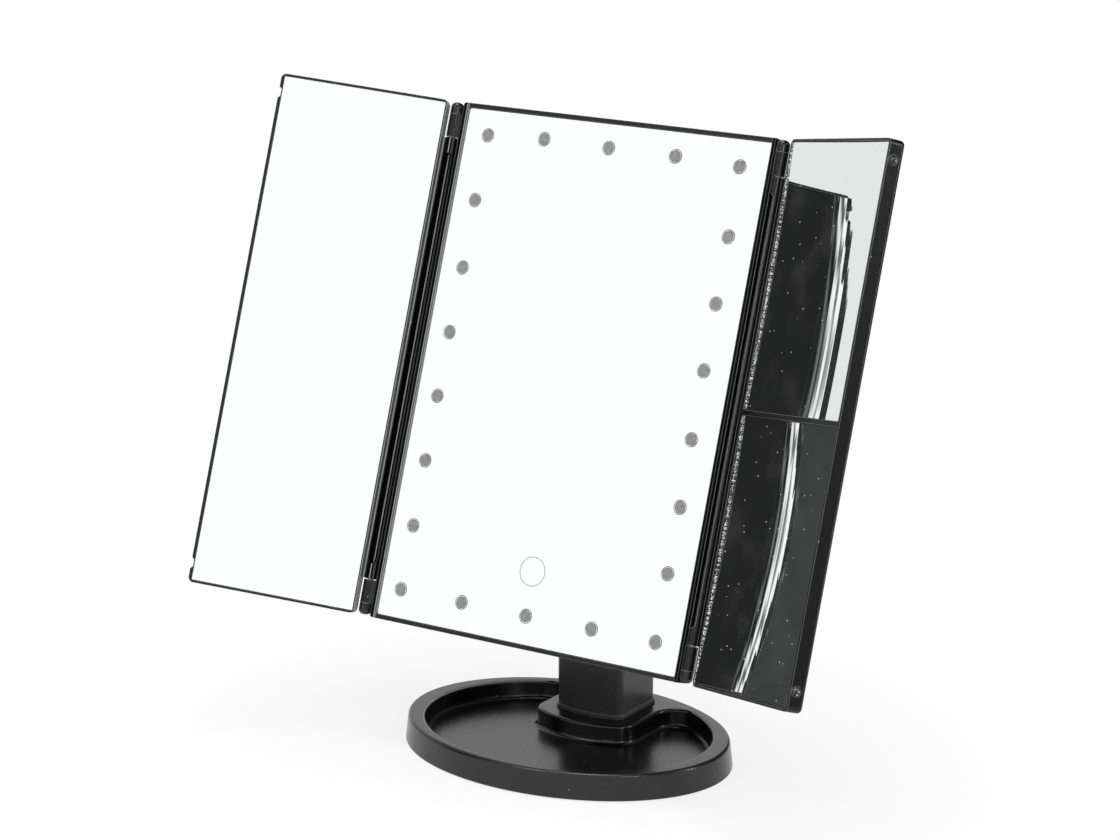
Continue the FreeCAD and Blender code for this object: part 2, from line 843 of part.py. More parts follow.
def make_control_board():
    board = block(-board_width / 2, board_width / 2, board_front, board_front + board_thickness,
                  -board_bottom, -board_top)
    holes = [rod(board_screw_radius + seat_clearance, place, place + Y_AXIS * board_thickness)
             for place in board_post_places(board_front)]
    return cut_all(board, holes)


def make_board_screws():
    screws = [cross_screw(board_screw_radius, board_screw_length, board_screw_head_radius,
                          board_screw_head_height, place, Y_AXIS)
              for place in board_post_places(board_front - board_screw_head_height)]
    return Part.makeCompound(screws)


def make_charging_socket():
    side = socket_width / 2
    front = board_front - socket_depth
    mouth = -housing_bottom - socket_proud
    can = block(-side, side, front, board_front, mouth, mouth + socket_length)
    hollow = block(-side + socket_wall, side - socket_wall, front + socket_wall, board_front - socket_wall,
                   mouth - overrun, mouth + socket_length - socket_wall)
    middle = board_front - socket_depth / 2
    tongue = block(-side / 2, side / 2, middle - socket_wall / 2, middle + socket_wall / 2,
                   mouth + socket_wall, mouth + socket_length)
    return can.cut(hollow).fuse(tongue).removeSplitter()


def make_switch_body():
    return block(switch_offset - switch_body_width / 2, switch_offset + switch_body_width / 2,
                 housing_inside - switch_body_depth, housing_inside,
                 switch_level - switch_body_height / 2, switch_level + switch_body_height / 2)


def make_switch_knob():
    left = switch_offset - knob_width / 2
    right = switch_offset + knob_width / 2
    top = housing_back + knob_proud
    half = knob_height / 2
    knob = block(left, right, housing_inside + knob_root, top, knob_middle - half, knob_middle + half)
    dip = half * knob_groove_share
    groove = block(left - overrun, right + overrun, housing_back + knob_proud / 2, top + overrun,
                   knob_middle - dip, knob_middle + dip)
    return knob.cut(groove)


def wire(points):
    """A round wire along straight runs, with an arc as large as the shorter run allows at each bend."""
    edges = []
    start = points[0]
    for before, corner, after in zip(points, points[1:], points[2:]):
        back = before.sub(corner)
        ahead = after.sub(corner)
        reach = wire_bend_share * min(back.Length, ahead.Length)
        enter = corner + back.normalize() * reach
        leave = corner + ahead.normalize() * reach
        inward = (back + ahead).normalize()
        half_turn = math.pi / 2 - back.getAngle(ahead) / 2
        radius = reach / math.tan(half_turn)
        middle = corner + inward * (radius / math.cos(half_turn) - radius)
        edges.append(Part.LineSegment(start, enter).toShape())
        edges.append(Part.Arc(enter, middle, leave).toShape())
        start = leave
    edges.append(Part.LineSegment(start, points[-1]).toShape())
    first = points[1].sub(points[0])
    section = Part.Wire(Part.makeCircle(wire_radius, points[0], first))
    return Part.Wire(edges).makePipeShell([section], True, False)


def make_wires():
    level = board_front + board_thickness / 2
    bay_under = -bay_bottom - bay_wall
    wires = []
    for side in SIDES:
        x = side * supply_wire_spread / 2
        wires.append(rod(wire_radius, Vector(x, level, bay_under), Vector(x, level, -board_top)))
    strip_back = ledge_back + strip_thickness + wire_radius
    strip_level = dots_above_middle - dot_pitch_down * (dots_down - 1) / 2
    for step in range(2):
        x = light_wire_offset + step * light_wire_spread
        wires.append(wire([Vector(x, board_front, -board_top - light_wire_drop),
                           Vector(x, strip_back, -board_top - light_wire_drop),
                           Vector(x, strip_back, strip_level)]))
    x = -dots_left_of_middle
    foil_back = glass_thickness + touch_foil_thickness
    wires.append(wire([Vector(x, board_front, -board_top - touch_wire_drop),
                       Vector(x, touch_wire_depth, -board_top - touch_wire_drop),
                       Vector(x, touch_wire_depth, -touch_below_middle),
                       Vector(x, foil_back, -touch_below_middle)]))
    switch_foot = switch_level - switch_body_height / 2
    wires.append(wire([Vector(switch_offset, level, switch_foot),
                       Vector(switch_offset, level, -board_top - light_wire_drop),
                       Vector(board_width / 2, level, -board_top - light_wire_drop)]))
    return Part.makeCompound(wires)


def make_tilt_bracket():
    plate_back = housing_back + bracket_thickness
    half = bracket_height / 2
    middle = -pivot_below_centre
    plate = slab(-bracket_width / 2, bracket_width / 2, middle - half, middle + half,
                 bracket_corner, housing_back, plate_back)
    solids = [plate]
    for side in SIDES:
        low, high = sorted((side * ear_inside, side * ear_outside))
        solids.append(block(low, high, housing_back, pivot_behind_face,
                            middle - ear_radius, middle + ear_radius))
        solids.append(rod(ear_radius, Vector(low, pivot_behind_face, middle),
                          Vector(high, pivot_behind_face, middle)))
    holes = [rod(bolt_radius + running_clearance, Vector(-bracket_width, pivot_behind_face, middle),
                 Vector(bracket_width, pivot_behind_face, middle))]
    for place in bracket_screw_places(plate_back):
        holes += screw_hole(bracket_screw_radius, bracket_thickness, bracket_screw_head_radius,
                            bracket_screw_head_height, place)
    return cut_all(fuse_all(solids), holes)


def make_bracket_screws():
    length = bracket_screw_length - bracket_screw_head_height
    screws = [cross_screw(bracket_screw_radius, length, bracket_screw_head_radius,
                          bracket_screw_head_height, place, -Y_AXIS)
              for place in bracket_screw_places(housing_back + bracket_thickness)]
    return Part.makeCompound(screws)


def make_cover_screws():
    length = cover_back - cover_screw_head_height - ledge_back
    screws = [cross_screw(cover_screw_radius, length, cover_screw_head_radius,
                          cover_screw_head_height, place, -Y_AXIS)
              for place in cover_screw_places(cover_back)]
    return Part.makeCompound(screws)


# Wings, built along +X from the hinge axis

wing_back = wing_set_back + wing_thickness
wing_end = frame_height / 2
wing_reach = hinge_side - wings_closed_gap / 2
glass_face = wing_set_back + wing_lip_proud
glass_back = glass_face + glass_thickness
wing_ledge_face = glass_back + tape_thickness
pocket_inner = wing_inner + wing_lip_hinge
pocket_outer = wing_reach - wing_lip_outer
pocket_end = wing_end - wing_lip_end
barrel_end = knuckle_end - hinge_end_gap
trough_end = barrel_end - barrel_end_length


def wing_shell():
    """The tray of a wing before its mirror's pocket is cut, with its hinge barrel."""
    tray = slab(wing_inner, wing_reach, -wing_end, wing_end, wing_corner, wing_set_back, wing_back)
    tray = tray.makeFillet(wing_edge_radius, edges_at_depth(tray, wing_back))
    barrel = rod(barrel_radius, Vector(0, 0, -barrel_end), Vector(0, 0, barrel_end))
    web = block(0, wing_inner + wing_floor, web_front, web_front + web_thickness, -barrel_end, barrel_end)
    half = trough_width / 2
    trough = slab(-half, half, -trough_end, trough_end, half - place_tolerance,
                  -barrel_radius - overrun, trough_floor)
    bores = [rod(pin_radius + running_clearance, Vector(0, 0, end * (barrel_end + overrun)),
                 Vector(0, 0, end * (trough_end - pin_radius / 2))) for end in SIDES]
    return cut_all(fuse_all([tray, barrel, web]), [trough] + bores)


def hollow_cells(z_low, z_high, down):
    """The lightening cells behind a mirror, with ribs left between them."""
    x_low, x_high = pocket_inner + wing_ledge, pocket_outer - wing_ledge
    wide = (x_high - x_low - wing_rib * (cell_column_count - 1)) / cell_column_count
    tall = (z_high - z_low - wing_rib * (down - 1)) / down
    cells = []
    for across in range(cell_column_count):
        for up in range(down):
            x = x_low + across * (wide + wing_rib)
            z = z_low + up * (tall + wing_rib)
            cells.append(block(x, x + wide, glass_back, wing_back - wing_floor, z, z + tall))
    return cells


def make_left_wing_frame():
    pocket = slab(pocket_inner, pocket_outer, -pocket_end, pocket_end, glass_corner,
                  wing_set_back - overrun, wing_ledge_face)
    cutters = [pocket] + hollow_cells(-pocket_end + wing_ledge, pocket_end - wing_ledge, cell_row_count)
    for end in SIDES:
        middle = end * (wing_end - catch_from_end)
        notch = [Vector(wing_reach + overrun, 0, middle - notch_length / 2),
                 Vector(wing_reach, 0, middle - notch_length / 2),
                 Vector(wing_reach - notch_depth, 0, middle - notch_floor_length / 2),
                 Vector(wing_reach - notch_depth, 0, middle + notch_floor_length / 2),
                 Vector(wing_reach, 0, middle + notch_length / 2),
                 Vector(wing_reach + overrun, 0, middle + notch_length / 2)]
        cutters.append(prism(notch, Y_AXIS * (wing_set_back + notch_reach)))
    return cut_all(wing_shell(), cutters)


def make_left_wing_mirror():
    end = pocket_end - glass_clearance
    return slab(pocket_inner + glass_clearance, pocket_outer - glass_clearance, -end, end,
                glass_corner, glass_face, glass_back)


def tape_pair(z_low, z_high, y_low, y_high):
    """Two upright strips of tape on the long ledges behind a mirror."""
    inner = pocket_inner + 2 * glass_clearance
    outer = pocket_outer - 2 * glass_clearance
    wide = wing_ledge - 2 * glass_clearance
    low = z_low + 2 * glass_clearance
    high = z_high - 2 * glass_clearance
    return [block(x, x + wide, y_low, y_high, low, high) for x in (inner, outer - wide)]


def make_left_wing_tape():
    return Part.makeCompound(tape_pair(-pocket_end, pocket_end, glass_back, wing_ledge_face))


half_sheet = (pocket_outer - pocket_inner) / 2


def bend_radius(depth):
    """The radius of a sheet whose middle is bowed back by a depth."""
    return (half_sheet ** 2 + depth ** 2) / (2 * depth)


magnifiers = {"upper": (divider_width / 2, pocket_end, bend_radius(upper_bend_depth)),
              "lower": (-pocket_end, -divider_width / 2, bend_radius(lower_bend_depth))}


def bend(z_low, z_high, curve, depth):
    """An upright drum whose skin lies at a depth behind the reflecting face of a bent sheet."""
    x_deepest = pocket_inner + half_sheet + deepest_from_middle
    to_edge = math.sqrt(curve ** 2 - (x_deepest - pocket_inner) ** 2)
    foot = Vector(x_deepest, wing_set_back + sheet_recess - to_edge, z_low - overrun)
    return Part.makeCylinder(curve + depth, z_high - z_low + 2 * overrun, foot)


def magnifier_pocket(z_low, z_high, curve, depth, clearance):
    """The part of a magnifier's opening that lies in front of that surface."""
    opening = slab(pocket_inner + clearance, pocket_outer - clearance,
                   z_low + clearance, z_high - clearance,
                   glass_corner, wing_set_back - overrun, wing_back)
    return opening.common(bend(z_low, z_high, curve, depth))


def make_right_wing_frame():
    cutters = []
    for z_low, z_high, curve in magnifiers.values():
        seat = sheet_thickness + tape_thickness
        cutters.append(magnifier_pocket(z_low, z_high, curve, seat, 0))
        cutters += hollow_cells(z_low + wing_ledge, z_high - wing_ledge, cell_row_count // 2)
    frame = cut_all(wing_shell(), cutters)
    nubs = []
    for end in SIDES:
        foot = Vector(wing_reach - wing_lip_outer / 2, wing_set_back + nub_set_back + nub_radius,
                      end * (wing_end - catch_from_end))
        nub = rod(nub_radius, foot, foot + X_AXIS * (nub_proud + wing_lip_outer / 2))
        tip = [edge for edge in nub.Edges if edge.BoundBox.XMin > wing_reach]
        nubs.append(nub.makeFillet(nub_edge_radius, tip))
    return fuse_all([frame] + nubs)


def make_magnifier(name):
    z_low, z_high, curve = magnifiers[name]
    blank = magnifier_pocket(z_low, z_high, curve, sheet_thickness, glass_clearance)
    return blank.cut(bend(z_low, z_high, curve, 0))


def make_right_wing_tape():
    strips = []
    for z_low, z_high, curve in magnifiers.values():
        shell = bend(z_low, z_high, curve, sheet_thickness + tape_thickness)
        shell = shell.cut(bend(z_low, z_high, curve, sheet_thickness))
        for strip in tape_pair(z_low, z_high, wing_set_back, wing_back):
            strips.append(strip.common(shell))
    return Part.makeCompound(strips)


# The whole mirror

def build():
    parts["base_tray"] = make_base_tray()
    parts["non_slip_pad"] = make_non_slip_pad()
    parts["post"] = make_post()
    parts["post_screws"] = make_post_screws()
    parts["tilt_bolt"] = make_tilt_bolt()
    parts["tilt_nut"] = make_tilt_nut()
    parts["friction_washers"] = make_friction_washers()

    head = {"centre_frame": make_centre_frame(), "centre_mirror": make_centre_mirror(),
            "mirror_tape": make_mirror_tape(), "light_strips": make_light_strips(),
            "light_chips": make_light_chips(), "touch_foil": make_touch_foil(),
            "rear_cover": make_rear_cover(), "battery_door": make_battery_door(),
            "battery_cells": make_battery_cells(), "battery_springs": make_battery_springs(),
            "battery_contacts": make_battery_contacts(), "control_board": make_control_board(),
            "board_screws": make_board_screws(), "charging_socket": make_charging_socket(),
            "switch_body": make_switch_body(), "switch_knob": make_switch_knob(), "wires": make_wires(),
            "tilt_bracket": make_tilt_bracket(), "bracket_screws": make_bracket_screws(),
            "cover_screws": make_cover_screws(),
            "left_hinge_caps": make_hinge_caps(-1), "right_hinge_caps": make_hinge_caps(1),
            "left_hinge_pins": make_hinge_pins(-1), "right_hinge_pins": make_hinge_pins(1)}
    for name, shape in head.items():
        parts[name] = in_head(shape)

    left = {"left_wing_frame": make_left_wing_frame(), "left_wing_mirror": make_left_wing_mirror(),
            "left_wing_tape": make_left_wing_tape()}
    for name, shape in left.items():
        parts[name] = in_wing(shape, -1, fold_left)

    right = {"right_wing_frame": make_right_wing_frame(), "upper_magnifier": make_magnifier("upper"),
             "lower_magnifier": make_magnifier("lower"), "right_wing_tape": make_right_wing_tape()}
    for name, shape in right.items():
        parts[name] = in_wing(shape, 1, fold_right)


build()
os.makedirs("parts", exist_ok=True)
for name, shape in parts.items():
    shape.exportStep(os.path.join("parts", name + ".step"))
    print(name, len(shape.Solids), round(shape.Volume, 1), shape.isValid())
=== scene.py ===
# %% [markdown]
# A folding makeup mirror, finished for the picture.
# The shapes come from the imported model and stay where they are. This lesson gives each of them the surface
# that the real piece has, adds what is too thin or too finely bent for a solid, and sets up table and light.

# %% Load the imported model
import json
import math
import bpy
import bmesh
from mathutils import Matrix, Vector


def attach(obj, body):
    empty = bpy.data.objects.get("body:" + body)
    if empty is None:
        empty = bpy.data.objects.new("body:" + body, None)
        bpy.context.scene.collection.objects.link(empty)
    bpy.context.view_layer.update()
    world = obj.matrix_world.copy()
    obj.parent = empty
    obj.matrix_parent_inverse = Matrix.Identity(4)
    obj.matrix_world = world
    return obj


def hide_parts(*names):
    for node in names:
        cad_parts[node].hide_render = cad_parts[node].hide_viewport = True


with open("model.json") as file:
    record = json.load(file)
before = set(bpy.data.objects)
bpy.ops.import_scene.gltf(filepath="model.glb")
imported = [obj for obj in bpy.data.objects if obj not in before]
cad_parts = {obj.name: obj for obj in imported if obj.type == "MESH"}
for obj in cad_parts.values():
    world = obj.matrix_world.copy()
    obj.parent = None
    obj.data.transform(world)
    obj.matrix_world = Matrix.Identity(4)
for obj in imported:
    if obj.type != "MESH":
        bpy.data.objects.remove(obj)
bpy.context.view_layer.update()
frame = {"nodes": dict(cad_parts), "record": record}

MM = 0.001


# %% [markdown]
# Colours are written as the hex values that a picture editor shows. Blender works in linear light, so one
# function does the change. A second small function adds a node to a finish: its settings, its input
# numbers, the wires into it and, for a ramp, its stops. With it each finish below reads like a recipe.

# %% Colour and node helpers
def colour(hex_value):
    """An sRGB hex value, such as "1a1a1b", as linear red, green, blue and alpha."""
    shares = [int(hex_value[i:i + 2], 16) / 255 for i in (0, 2, 4)]
    linear = [c / 12.92 if c <= 0.04045 else ((c + 0.055) / 1.055) ** 2.4 for c in shares]
    return (*linear, 1.0)


def node(tree, kind, values=None, links=None, stops=(), **settings):
    """Adds one node. settings are its own choices, values fill its sockets, links wire other nodes into them.
    stops are the rows of a ramp: position, from 0 to 1, and colour."""
    made = tree.nodes.new(kind)
    for name, choice in settings.items():
        setattr(made, name, choice)
    for socket, value in (values or {}).items():
        made.inputs[socket].default_value = value
    for socket, source in (links or {}).items():
        tree.links.new(source, made.inputs[socket])
    for count, (position, shade) in enumerate(stops):
        band = made.color_ramp.elements
        stop = band[count] if count < 2 else band.new(position)
        stop.position, stop.color = position, shade
    return made


def new_finish(name):
    """An empty material and its node tree."""
    finish = bpy.data.materials.new(name)
    finish.use_nodes = True
    finish.node_tree.nodes.clear()
    return finish, finish.node_tree


def per_metre(size_mm):
    """The texture scale that gives a pattern of this real size."""
    return 1 / (size_mm * MM)


# A Mix node has one set of sockets for each kind of value: here those for colours, then those for numbers.
SHARE, FIRST, SECOND, MIXED = 0, 6, 7, 2
FIRST_NUMBER, SECOND_NUMBER, MIXED_NUMBER = 2, 3, 0
print("mid grey 808080 is", round(colour("808080")[0], 3), "in linear light")

# %% [markdown]
# Two masks serve many finishes. Edges are made smoother and painted paler: the pale tone is a painted
# highlight along every edge, partly also wear from hands and cloths. A bevel node rounds every edge in the
# shading only, and where its normal leaves the true one there is an edge. A mask painted by hand would have
# to be painted again for each piece. Dust lies in scattered specks: they are the middles of a few cells of
# a cell pattern, picked by the chance colour that each cell has.

# %% Masks for edges with painted highlight, and for dust
bevel_samples = 4
edge_begins, edge_full = 0.995, 0.90


def edges_for_wear_and_painted_highlight(tree, width_mm):
    """The normal with every edge rounded, and a mask of the edges."""
    bevel = node(tree, "ShaderNodeBevel", {"Radius": width_mm * MM}, samples=bevel_samples)
    rounded = bevel.outputs["Normal"]
    true_normal = node(tree, "ShaderNodeNewGeometry").outputs["Normal"]
    agree = node(tree, "ShaderNodeVectorMath", None, {0: rounded, 1: true_normal}, operation="DOT_PRODUCT")
    mask = node(tree, "ShaderNodeMapRange", {"From Min": edge_begins, "From Max": edge_full},
                {"Value": agree.outputs["Value"]})
    return rounded, mask.outputs["Result"]


def dust_specks(tree, place, cell_mm, speck, share):
    """A mask of specks. speck is their outer and inner radius in parts of a cell, share that of the cells
    that hold one."""
    cells = node(tree, "ShaderNodeTexVoronoi", {"Scale": per_metre(cell_mm)}, {"Vector": place})
    near = node(tree, "ShaderNodeMapRange", {"From Min": speck[0], "From Max": speck[1]},
                {"Value": cells.outputs["Distance"]})
    pick = node(tree, "ShaderNodeSeparateColor", None, {"Color": cells.outputs["Color"]})
    kept = node(tree, "ShaderNodeMath", {1: share}, {0: pick.outputs["Red"]}, operation="LESS_THAN")
    return node(tree, "ShaderNodeMath", None, {0: near.outputs["Result"], 1: kept.outputs[0]},
                operation="MULTIPLY").outputs[0]


print("an edge counts as rubbed from a turn of", round(math.degrees(math.acos(edge_begins)), 1), "degrees")

# %% [markdown]
# Most surfaces here share one build-up: a tone that drifts slowly from place to place, a fine grain that
# roughens it, and edges painted paler as a highlight, partly also wear. The grain could be cut into the mesh,
# but that would take millions of points, so it is bump, from the noise that also varies the gloss. Some
# pieces have narrow lines of other tones along them: painted highlights and painted shade. A line is dull:
# its IOR falls almost to that of air, so that it hardly mirrors the table at a flat angle.

# %% One recipe for grained surfaces
dull_ior = 1.1
cloud_detail, grain_detail, grain_falloff = 2.0, 3.0, 0.6
grain_low, grain_high = 0.3, 0.7
bump_strength = 0.6
plastic_dust_mm, plastic_speck = 5.0, (0.07, 0.035)


def grained(name, tones, cloud_mm, grain_mm, height_mm, roughness, sockets, edge_mm, rubbed_with_painted_highlight=None, dust=None,
            drift=(0.0, 1.0), lines=None):
    """tones are two hex colours, roughness the smooth and the rough end, dust a hex colour and a share.
    drift is the part of the noise over which one tone becomes the other: a narrow one gives sharp patches.
    lines draws dull lines of other tones along a piece: painted highlights and painted shade. The paler edge
    tone is a painted highlight, partly also wear."""
    finish, tree = new_finish(name)
    place = node(tree, "ShaderNodeTexCoord").outputs["Object"]
    cloud = node(tree, "ShaderNodeTexNoise", {"Scale": per_metre(cloud_mm), "Detail": cloud_detail},
                 {"Vector": place}).outputs["Fac"]
    grain = node(tree, "ShaderNodeTexNoise", {"Scale": per_metre(grain_mm), "Detail": grain_detail,
                                              "Roughness": grain_falloff}, {"Vector": place}).outputs["Fac"]
    rounded, edge = edges_for_wear_and_painted_highlight(tree, edge_mm)
    share = node(tree, "ShaderNodeMapRange", {"From Min": drift[0], "From Max": drift[1]}, {"Value": cloud})
    tone = node(tree, "ShaderNodeMix", {FIRST: colour(tones[0]), SECOND: colour(tones[1])},
                {SHARE: share.outputs["Result"]}, data_type="RGBA").outputs[MIXED]
    # The paler edge tone is a painted highlight, partly also wear.
    if rubbed_with_painted_highlight:
        tone = node(tree, "ShaderNodeMix", {SECOND: colour(rubbed_with_painted_highlight)}, {SHARE: edge, FIRST: tone},
                    data_type="RGBA").outputs[MIXED]
    surface = {}
    if lines:
        line_tone, amount = lines(tree, place)
        tone = node(tree, "ShaderNodeMix", None, {SHARE: amount, FIRST: tone, SECOND: line_tone},
                    data_type="RGBA").outputs[MIXED]
        surface["IOR"] = node(tree, "ShaderNodeMapRange", {"To Min": sockets["IOR"], "To Max": dull_ior},
                              {"Value": amount}).outputs["Result"]
    if dust:
        speck = dust_specks(tree, place, plastic_dust_mm, plastic_speck, dust[1])
        tone = node(tree, "ShaderNodeMix", {SECOND: colour(dust[0])}, {SHARE: speck, FIRST: tone},
                    data_type="RGBA").outputs[MIXED]
    smooth, rough = roughness
    polish = node(tree, "ShaderNodeMapRange",
                  {"From Min": grain_low, "From Max": grain_high, "To Min": smooth, "To Max": rough},
                  {"Value": grain})
    polish = node(tree, "ShaderNodeMix", {SECOND_NUMBER: smooth},
                  {SHARE: edge, FIRST_NUMBER: polish.outputs["Result"]})
    bump = node(tree, "ShaderNodeBump", {"Strength": bump_strength, "Distance": height_mm * MM},
                {"Height": grain, "Normal": rounded})
    surface.update({"Base Color": tone, "Roughness": polish.outputs[MIXED_NUMBER],
                    "Normal": bump.outputs["Normal"]})
    shade = node(tree, "ShaderNodeBsdfPrincipled", sockets, surface)
    node(tree, "ShaderNodeOutputMaterial", None, {"Surface": shade.outputs["BSDF"]})
    return finish


print("the recipe's specks are", round(2 * plastic_speck[0] * plastic_dust_mm, 2), "mm across")

# %% [markdown]
# Nearly all that shows is ABS, moulded in a steel tool whose walls were spark-eroded. That leaves a fine
# even grain: the plastic is a satin black, and light spreads softly along every edge, which is painted as a
# paler grey edge, partly also wear from hands. The real grain is about 0.1 mm, too fine to show at this
# distance, so it is drawn at 0.8 mm.
# The hinge caps and the switch were moulded against smoother steel and shine more. The pad under the base
# is matt foam.

# %% Black plastics
abs_ior = 1.53


def eroded_abs(name, tones=("060607", "0d0d0e"), cloud_mm=26.0, roughness=(0.17, 0.30), gloss=0.34,
               lines=None):
    """Black ABS from the spark-eroded tool, with every edge painted paler as a highlight, partly also wear,
    and a little dust.
    """
    # The edge tone 8c8c8e is a painted highlight, partly also wear.
    return grained(name, tones, cloud_mm, grain_mm=0.8, height_mm=0.05, roughness=roughness,
                   sockets={"IOR": abs_ior, "Specular IOR Level": gloss}, edge_mm=0.45, rubbed_with_painted_highlight="8c8c8e",
                   dust=("b0b0b0", 0.16), lines=lines)


moulded_abs = eroded_abs("spark_eroded_black_abs", roughness=(0.13, 0.26))
# In the finishes below, the paler edge tone is a painted highlight, partly also wear.
smooth_abs = grained("polished_black_abs", ("050506", "0a0a0b"), cloud_mm=18.0, grain_mm=1.6, height_mm=0.02,
                     roughness=(0.12, 0.2), sockets={"IOR": abs_ior, "Specular IOR Level": 0.5}, edge_mm=0.35,
                     rubbed_with_painted_highlight="808082", dust=("8c8c8c", 0.10))
switch_abs = grained("gloss_black_abs", ("090909", "0e0e0e"), cloud_mm=8.0, grain_mm=1.2, height_mm=0.01,
                     roughness=(0.14, 0.22), sockets={"IOR": abs_ior, "Specular IOR Level": 0.4}, edge_mm=0.2,
                     rubbed_with_painted_highlight="1a1a1a")
pad_foam = grained("die_cut_black_eva", ("101010", "1a1a19"), cloud_mm=9.0, grain_mm=0.9, height_mm=0.12,
                   roughness=(0.78, 0.92), sockets={"IOR": 1.45, "Specular IOR Level": 0.3}, edge_mm=0.3)
print("plastics:", moulded_abs.name, smooth_abs.name, switch_abs.name, pad_foam.name)

# %% [markdown]
# Inside the head sit parts that show only with the door off or from behind: plated steel, cells in
# lacquered cans, a lacquered board, white light strips. A plain grey would do for most of them, but an open
# battery bay is looked into, so each gets its own tone, grain and gloss from the same recipe. Their grain is
# drawn at about half a millimetre, coarser than the real one, so that it shows. Metal keeps the default IOR,
# because its colour alone sets how it reflects.

# %% Metals
metal = {"Metallic": 1.0}
# The paler edge tones of these metals are painted highlights, partly also wear.
zinc_steel = grained("zinc_plated_steel", ("9a9b9e", "b4b5b7"), cloud_mm=4.0, grain_mm=0.5, height_mm=0.01,
                     roughness=(0.22, 0.4), sockets=metal, edge_mm=0.12, rubbed_with_painted_highlight="d0d0d2")
nickel_strip = grained("nickel_plated_spring_steel", ("b3aea5", "cbc7bf"), cloud_mm=5.0, grain_mm=0.6,
                       height_mm=0.01, roughness=(0.16, 0.32), sockets=metal, edge_mm=0.1, rubbed_with_painted_highlight="e0ddd6")
cell_sleeve = grained("lacquered_cell_can", ("8d9196", "a3a7ab"), cloud_mm=12.0, grain_mm=0.7,
                      height_mm=0.005, roughness=(0.18, 0.3), sockets=metal, edge_mm=0.3, rubbed_with_painted_highlight="c4c7ca")
copper = grained("rolled_copper_foil", ("b0623a", "c97d52"), cloud_mm=3.0, grain_mm=0.4, height_mm=0.004,
                 roughness=(0.2, 0.42), sockets=metal, edge_mm=0.05)
print("metals:", zinc_steel.name, nickel_strip.name, cell_sleeve.name, copper.name)

# %% Inner plastics, foam and board
nylon = grained("moulded_natural_nylon", ("c9c6ba", "d6d3c8"), cloud_mm=4.0, grain_mm=0.5, height_mm=0.02,
                roughness=(0.34, 0.5), sockets={"IOR": 1.53}, edge_mm=0.15)
foam_tape = grained("white_foam_tape", ("d4d3cd", "e2e1dc"), cloud_mm=3.0, grain_mm=0.45, height_mm=0.08,
                    roughness=(0.8, 0.95), sockets={"IOR": 1.45}, edge_mm=0.1)
strip_lacquer = grained("white_lacquered_light_strip", ("e3e2dc", "ecebe7"), cloud_mm=6.0, grain_mm=0.6,
                        height_mm=0.01, roughness=(0.3, 0.45), sockets={"IOR": 1.5}, edge_mm=0.1)
phosphor = grained("cast_yellow_phosphor", ("d8b23c", "e8c95c"), cloud_mm=1.2, grain_mm=0.35, height_mm=0.01,
                   roughness=(0.2, 0.36), sockets={"IOR": 1.5}, edge_mm=0.1)
# The board's paler edge tone is a painted highlight, partly also wear.
green_board = grained("green_lacquered_fibreglass", ("0f4a26", "17592f"), cloud_mm=5.0, grain_mm=0.7,
                      height_mm=0.02, roughness=(0.22, 0.38), sockets={"IOR": 1.5}, edge_mm=0.1,
                      rubbed_with_painted_highlight="3d7a52")
red_sleeve = grained("extruded_red_pvc", ("7c1512", "91201b"), cloud_mm=6.0, grain_mm=0.8, height_mm=0.01,
                     roughness=(0.3, 0.44), sockets={"IOR": 1.53}, edge_mm=0.1)
print("inner finishes:", len(bpy.data.materials), "materials so far")

# %% [markdown]
# A mirror is clear sheet with bright metal behind it. What the eye gets is a clean reflection with hardly
# any colour, so a smooth pale metal stands for both layers: real glass over metal would only make it
# noisier. Two things keep it from looking like nothing at all: a trace of haze where it was wiped, and
# dust, in specks and as a thin film, which is plain grey and not mirror-like.

# %% Silvered sheet
wipe_mm, wipe_detail = 22.0, 3.0
mirror_dust_mm, mirror_speck, mirror_dust = 3.4, (0.11, 0.07), "e4e4e2"
film_of_dust = 0.07
haze_begins, haze_full = 0.45, 0.8
film_begins, film_full = 0.5, 0.75


def silvered(name, tint_hex, haze_roughness, dust_share):
    """A mirror finish. dust_share is the share of the dust cells that hold a speck."""
    finish, tree = new_finish(name)
    place = node(tree, "ShaderNodeTexCoord").outputs["Object"]
    wiped = node(tree, "ShaderNodeTexNoise", {"Scale": per_metre(wipe_mm), "Detail": wipe_detail},
                 {"Vector": place}).outputs["Fac"]
    haze = node(tree, "ShaderNodeMapRange",
                {"From Min": haze_begins, "From Max": haze_full, "To Max": haze_roughness}, {"Value": wiped})
    film = node(tree, "ShaderNodeMapRange",
                {"From Min": film_begins, "From Max": film_full, "To Max": dust_share * film_of_dust},
                {"Value": wiped})
    speck = dust_specks(tree, place, mirror_dust_mm, mirror_speck, dust_share)
    dust = node(tree, "ShaderNodeMath", None, {0: speck, 1: film.outputs["Result"]},
                operation="MAXIMUM").outputs[0]
    clean = node(tree, "ShaderNodeMath", {0: 1.0}, {1: dust}, operation="SUBTRACT")
    tone = node(tree, "ShaderNodeMix", {FIRST: colour(tint_hex), SECOND: colour(mirror_dust)}, {SHARE: dust},
                data_type="RGBA")
    shade = node(tree, "ShaderNodeBsdfPrincipled", None,
                 {"Base Color": tone.outputs[MIXED], "Metallic": clean.outputs[0],
                  "Roughness": haze.outputs["Result"]})
    node(tree, "ShaderNodeOutputMaterial", None, {"Surface": shade.outputs["BSDF"]})
    return finish


silvered_glass = silvered("silvered_float_glass", "fdfefe", haze_roughness=0.02, dust_share=0.0)
silvered_acrylic = silvered("silvered_bent_acrylic", "f6f8f8", haze_roughness=0.01, dust_share=0.34)
print("mirrors:", silvered_glass.name, silvered_acrylic.name)

# %% [markdown]
# The head leans back on its bolt and each wing is folded a little forward. Working out slanted places point
# by point would be hard to read, so thin pieces are laid out as on a flat drawing in millimetres, x to the
# right, y to the back and z up, and one matrix per body carries them into place.

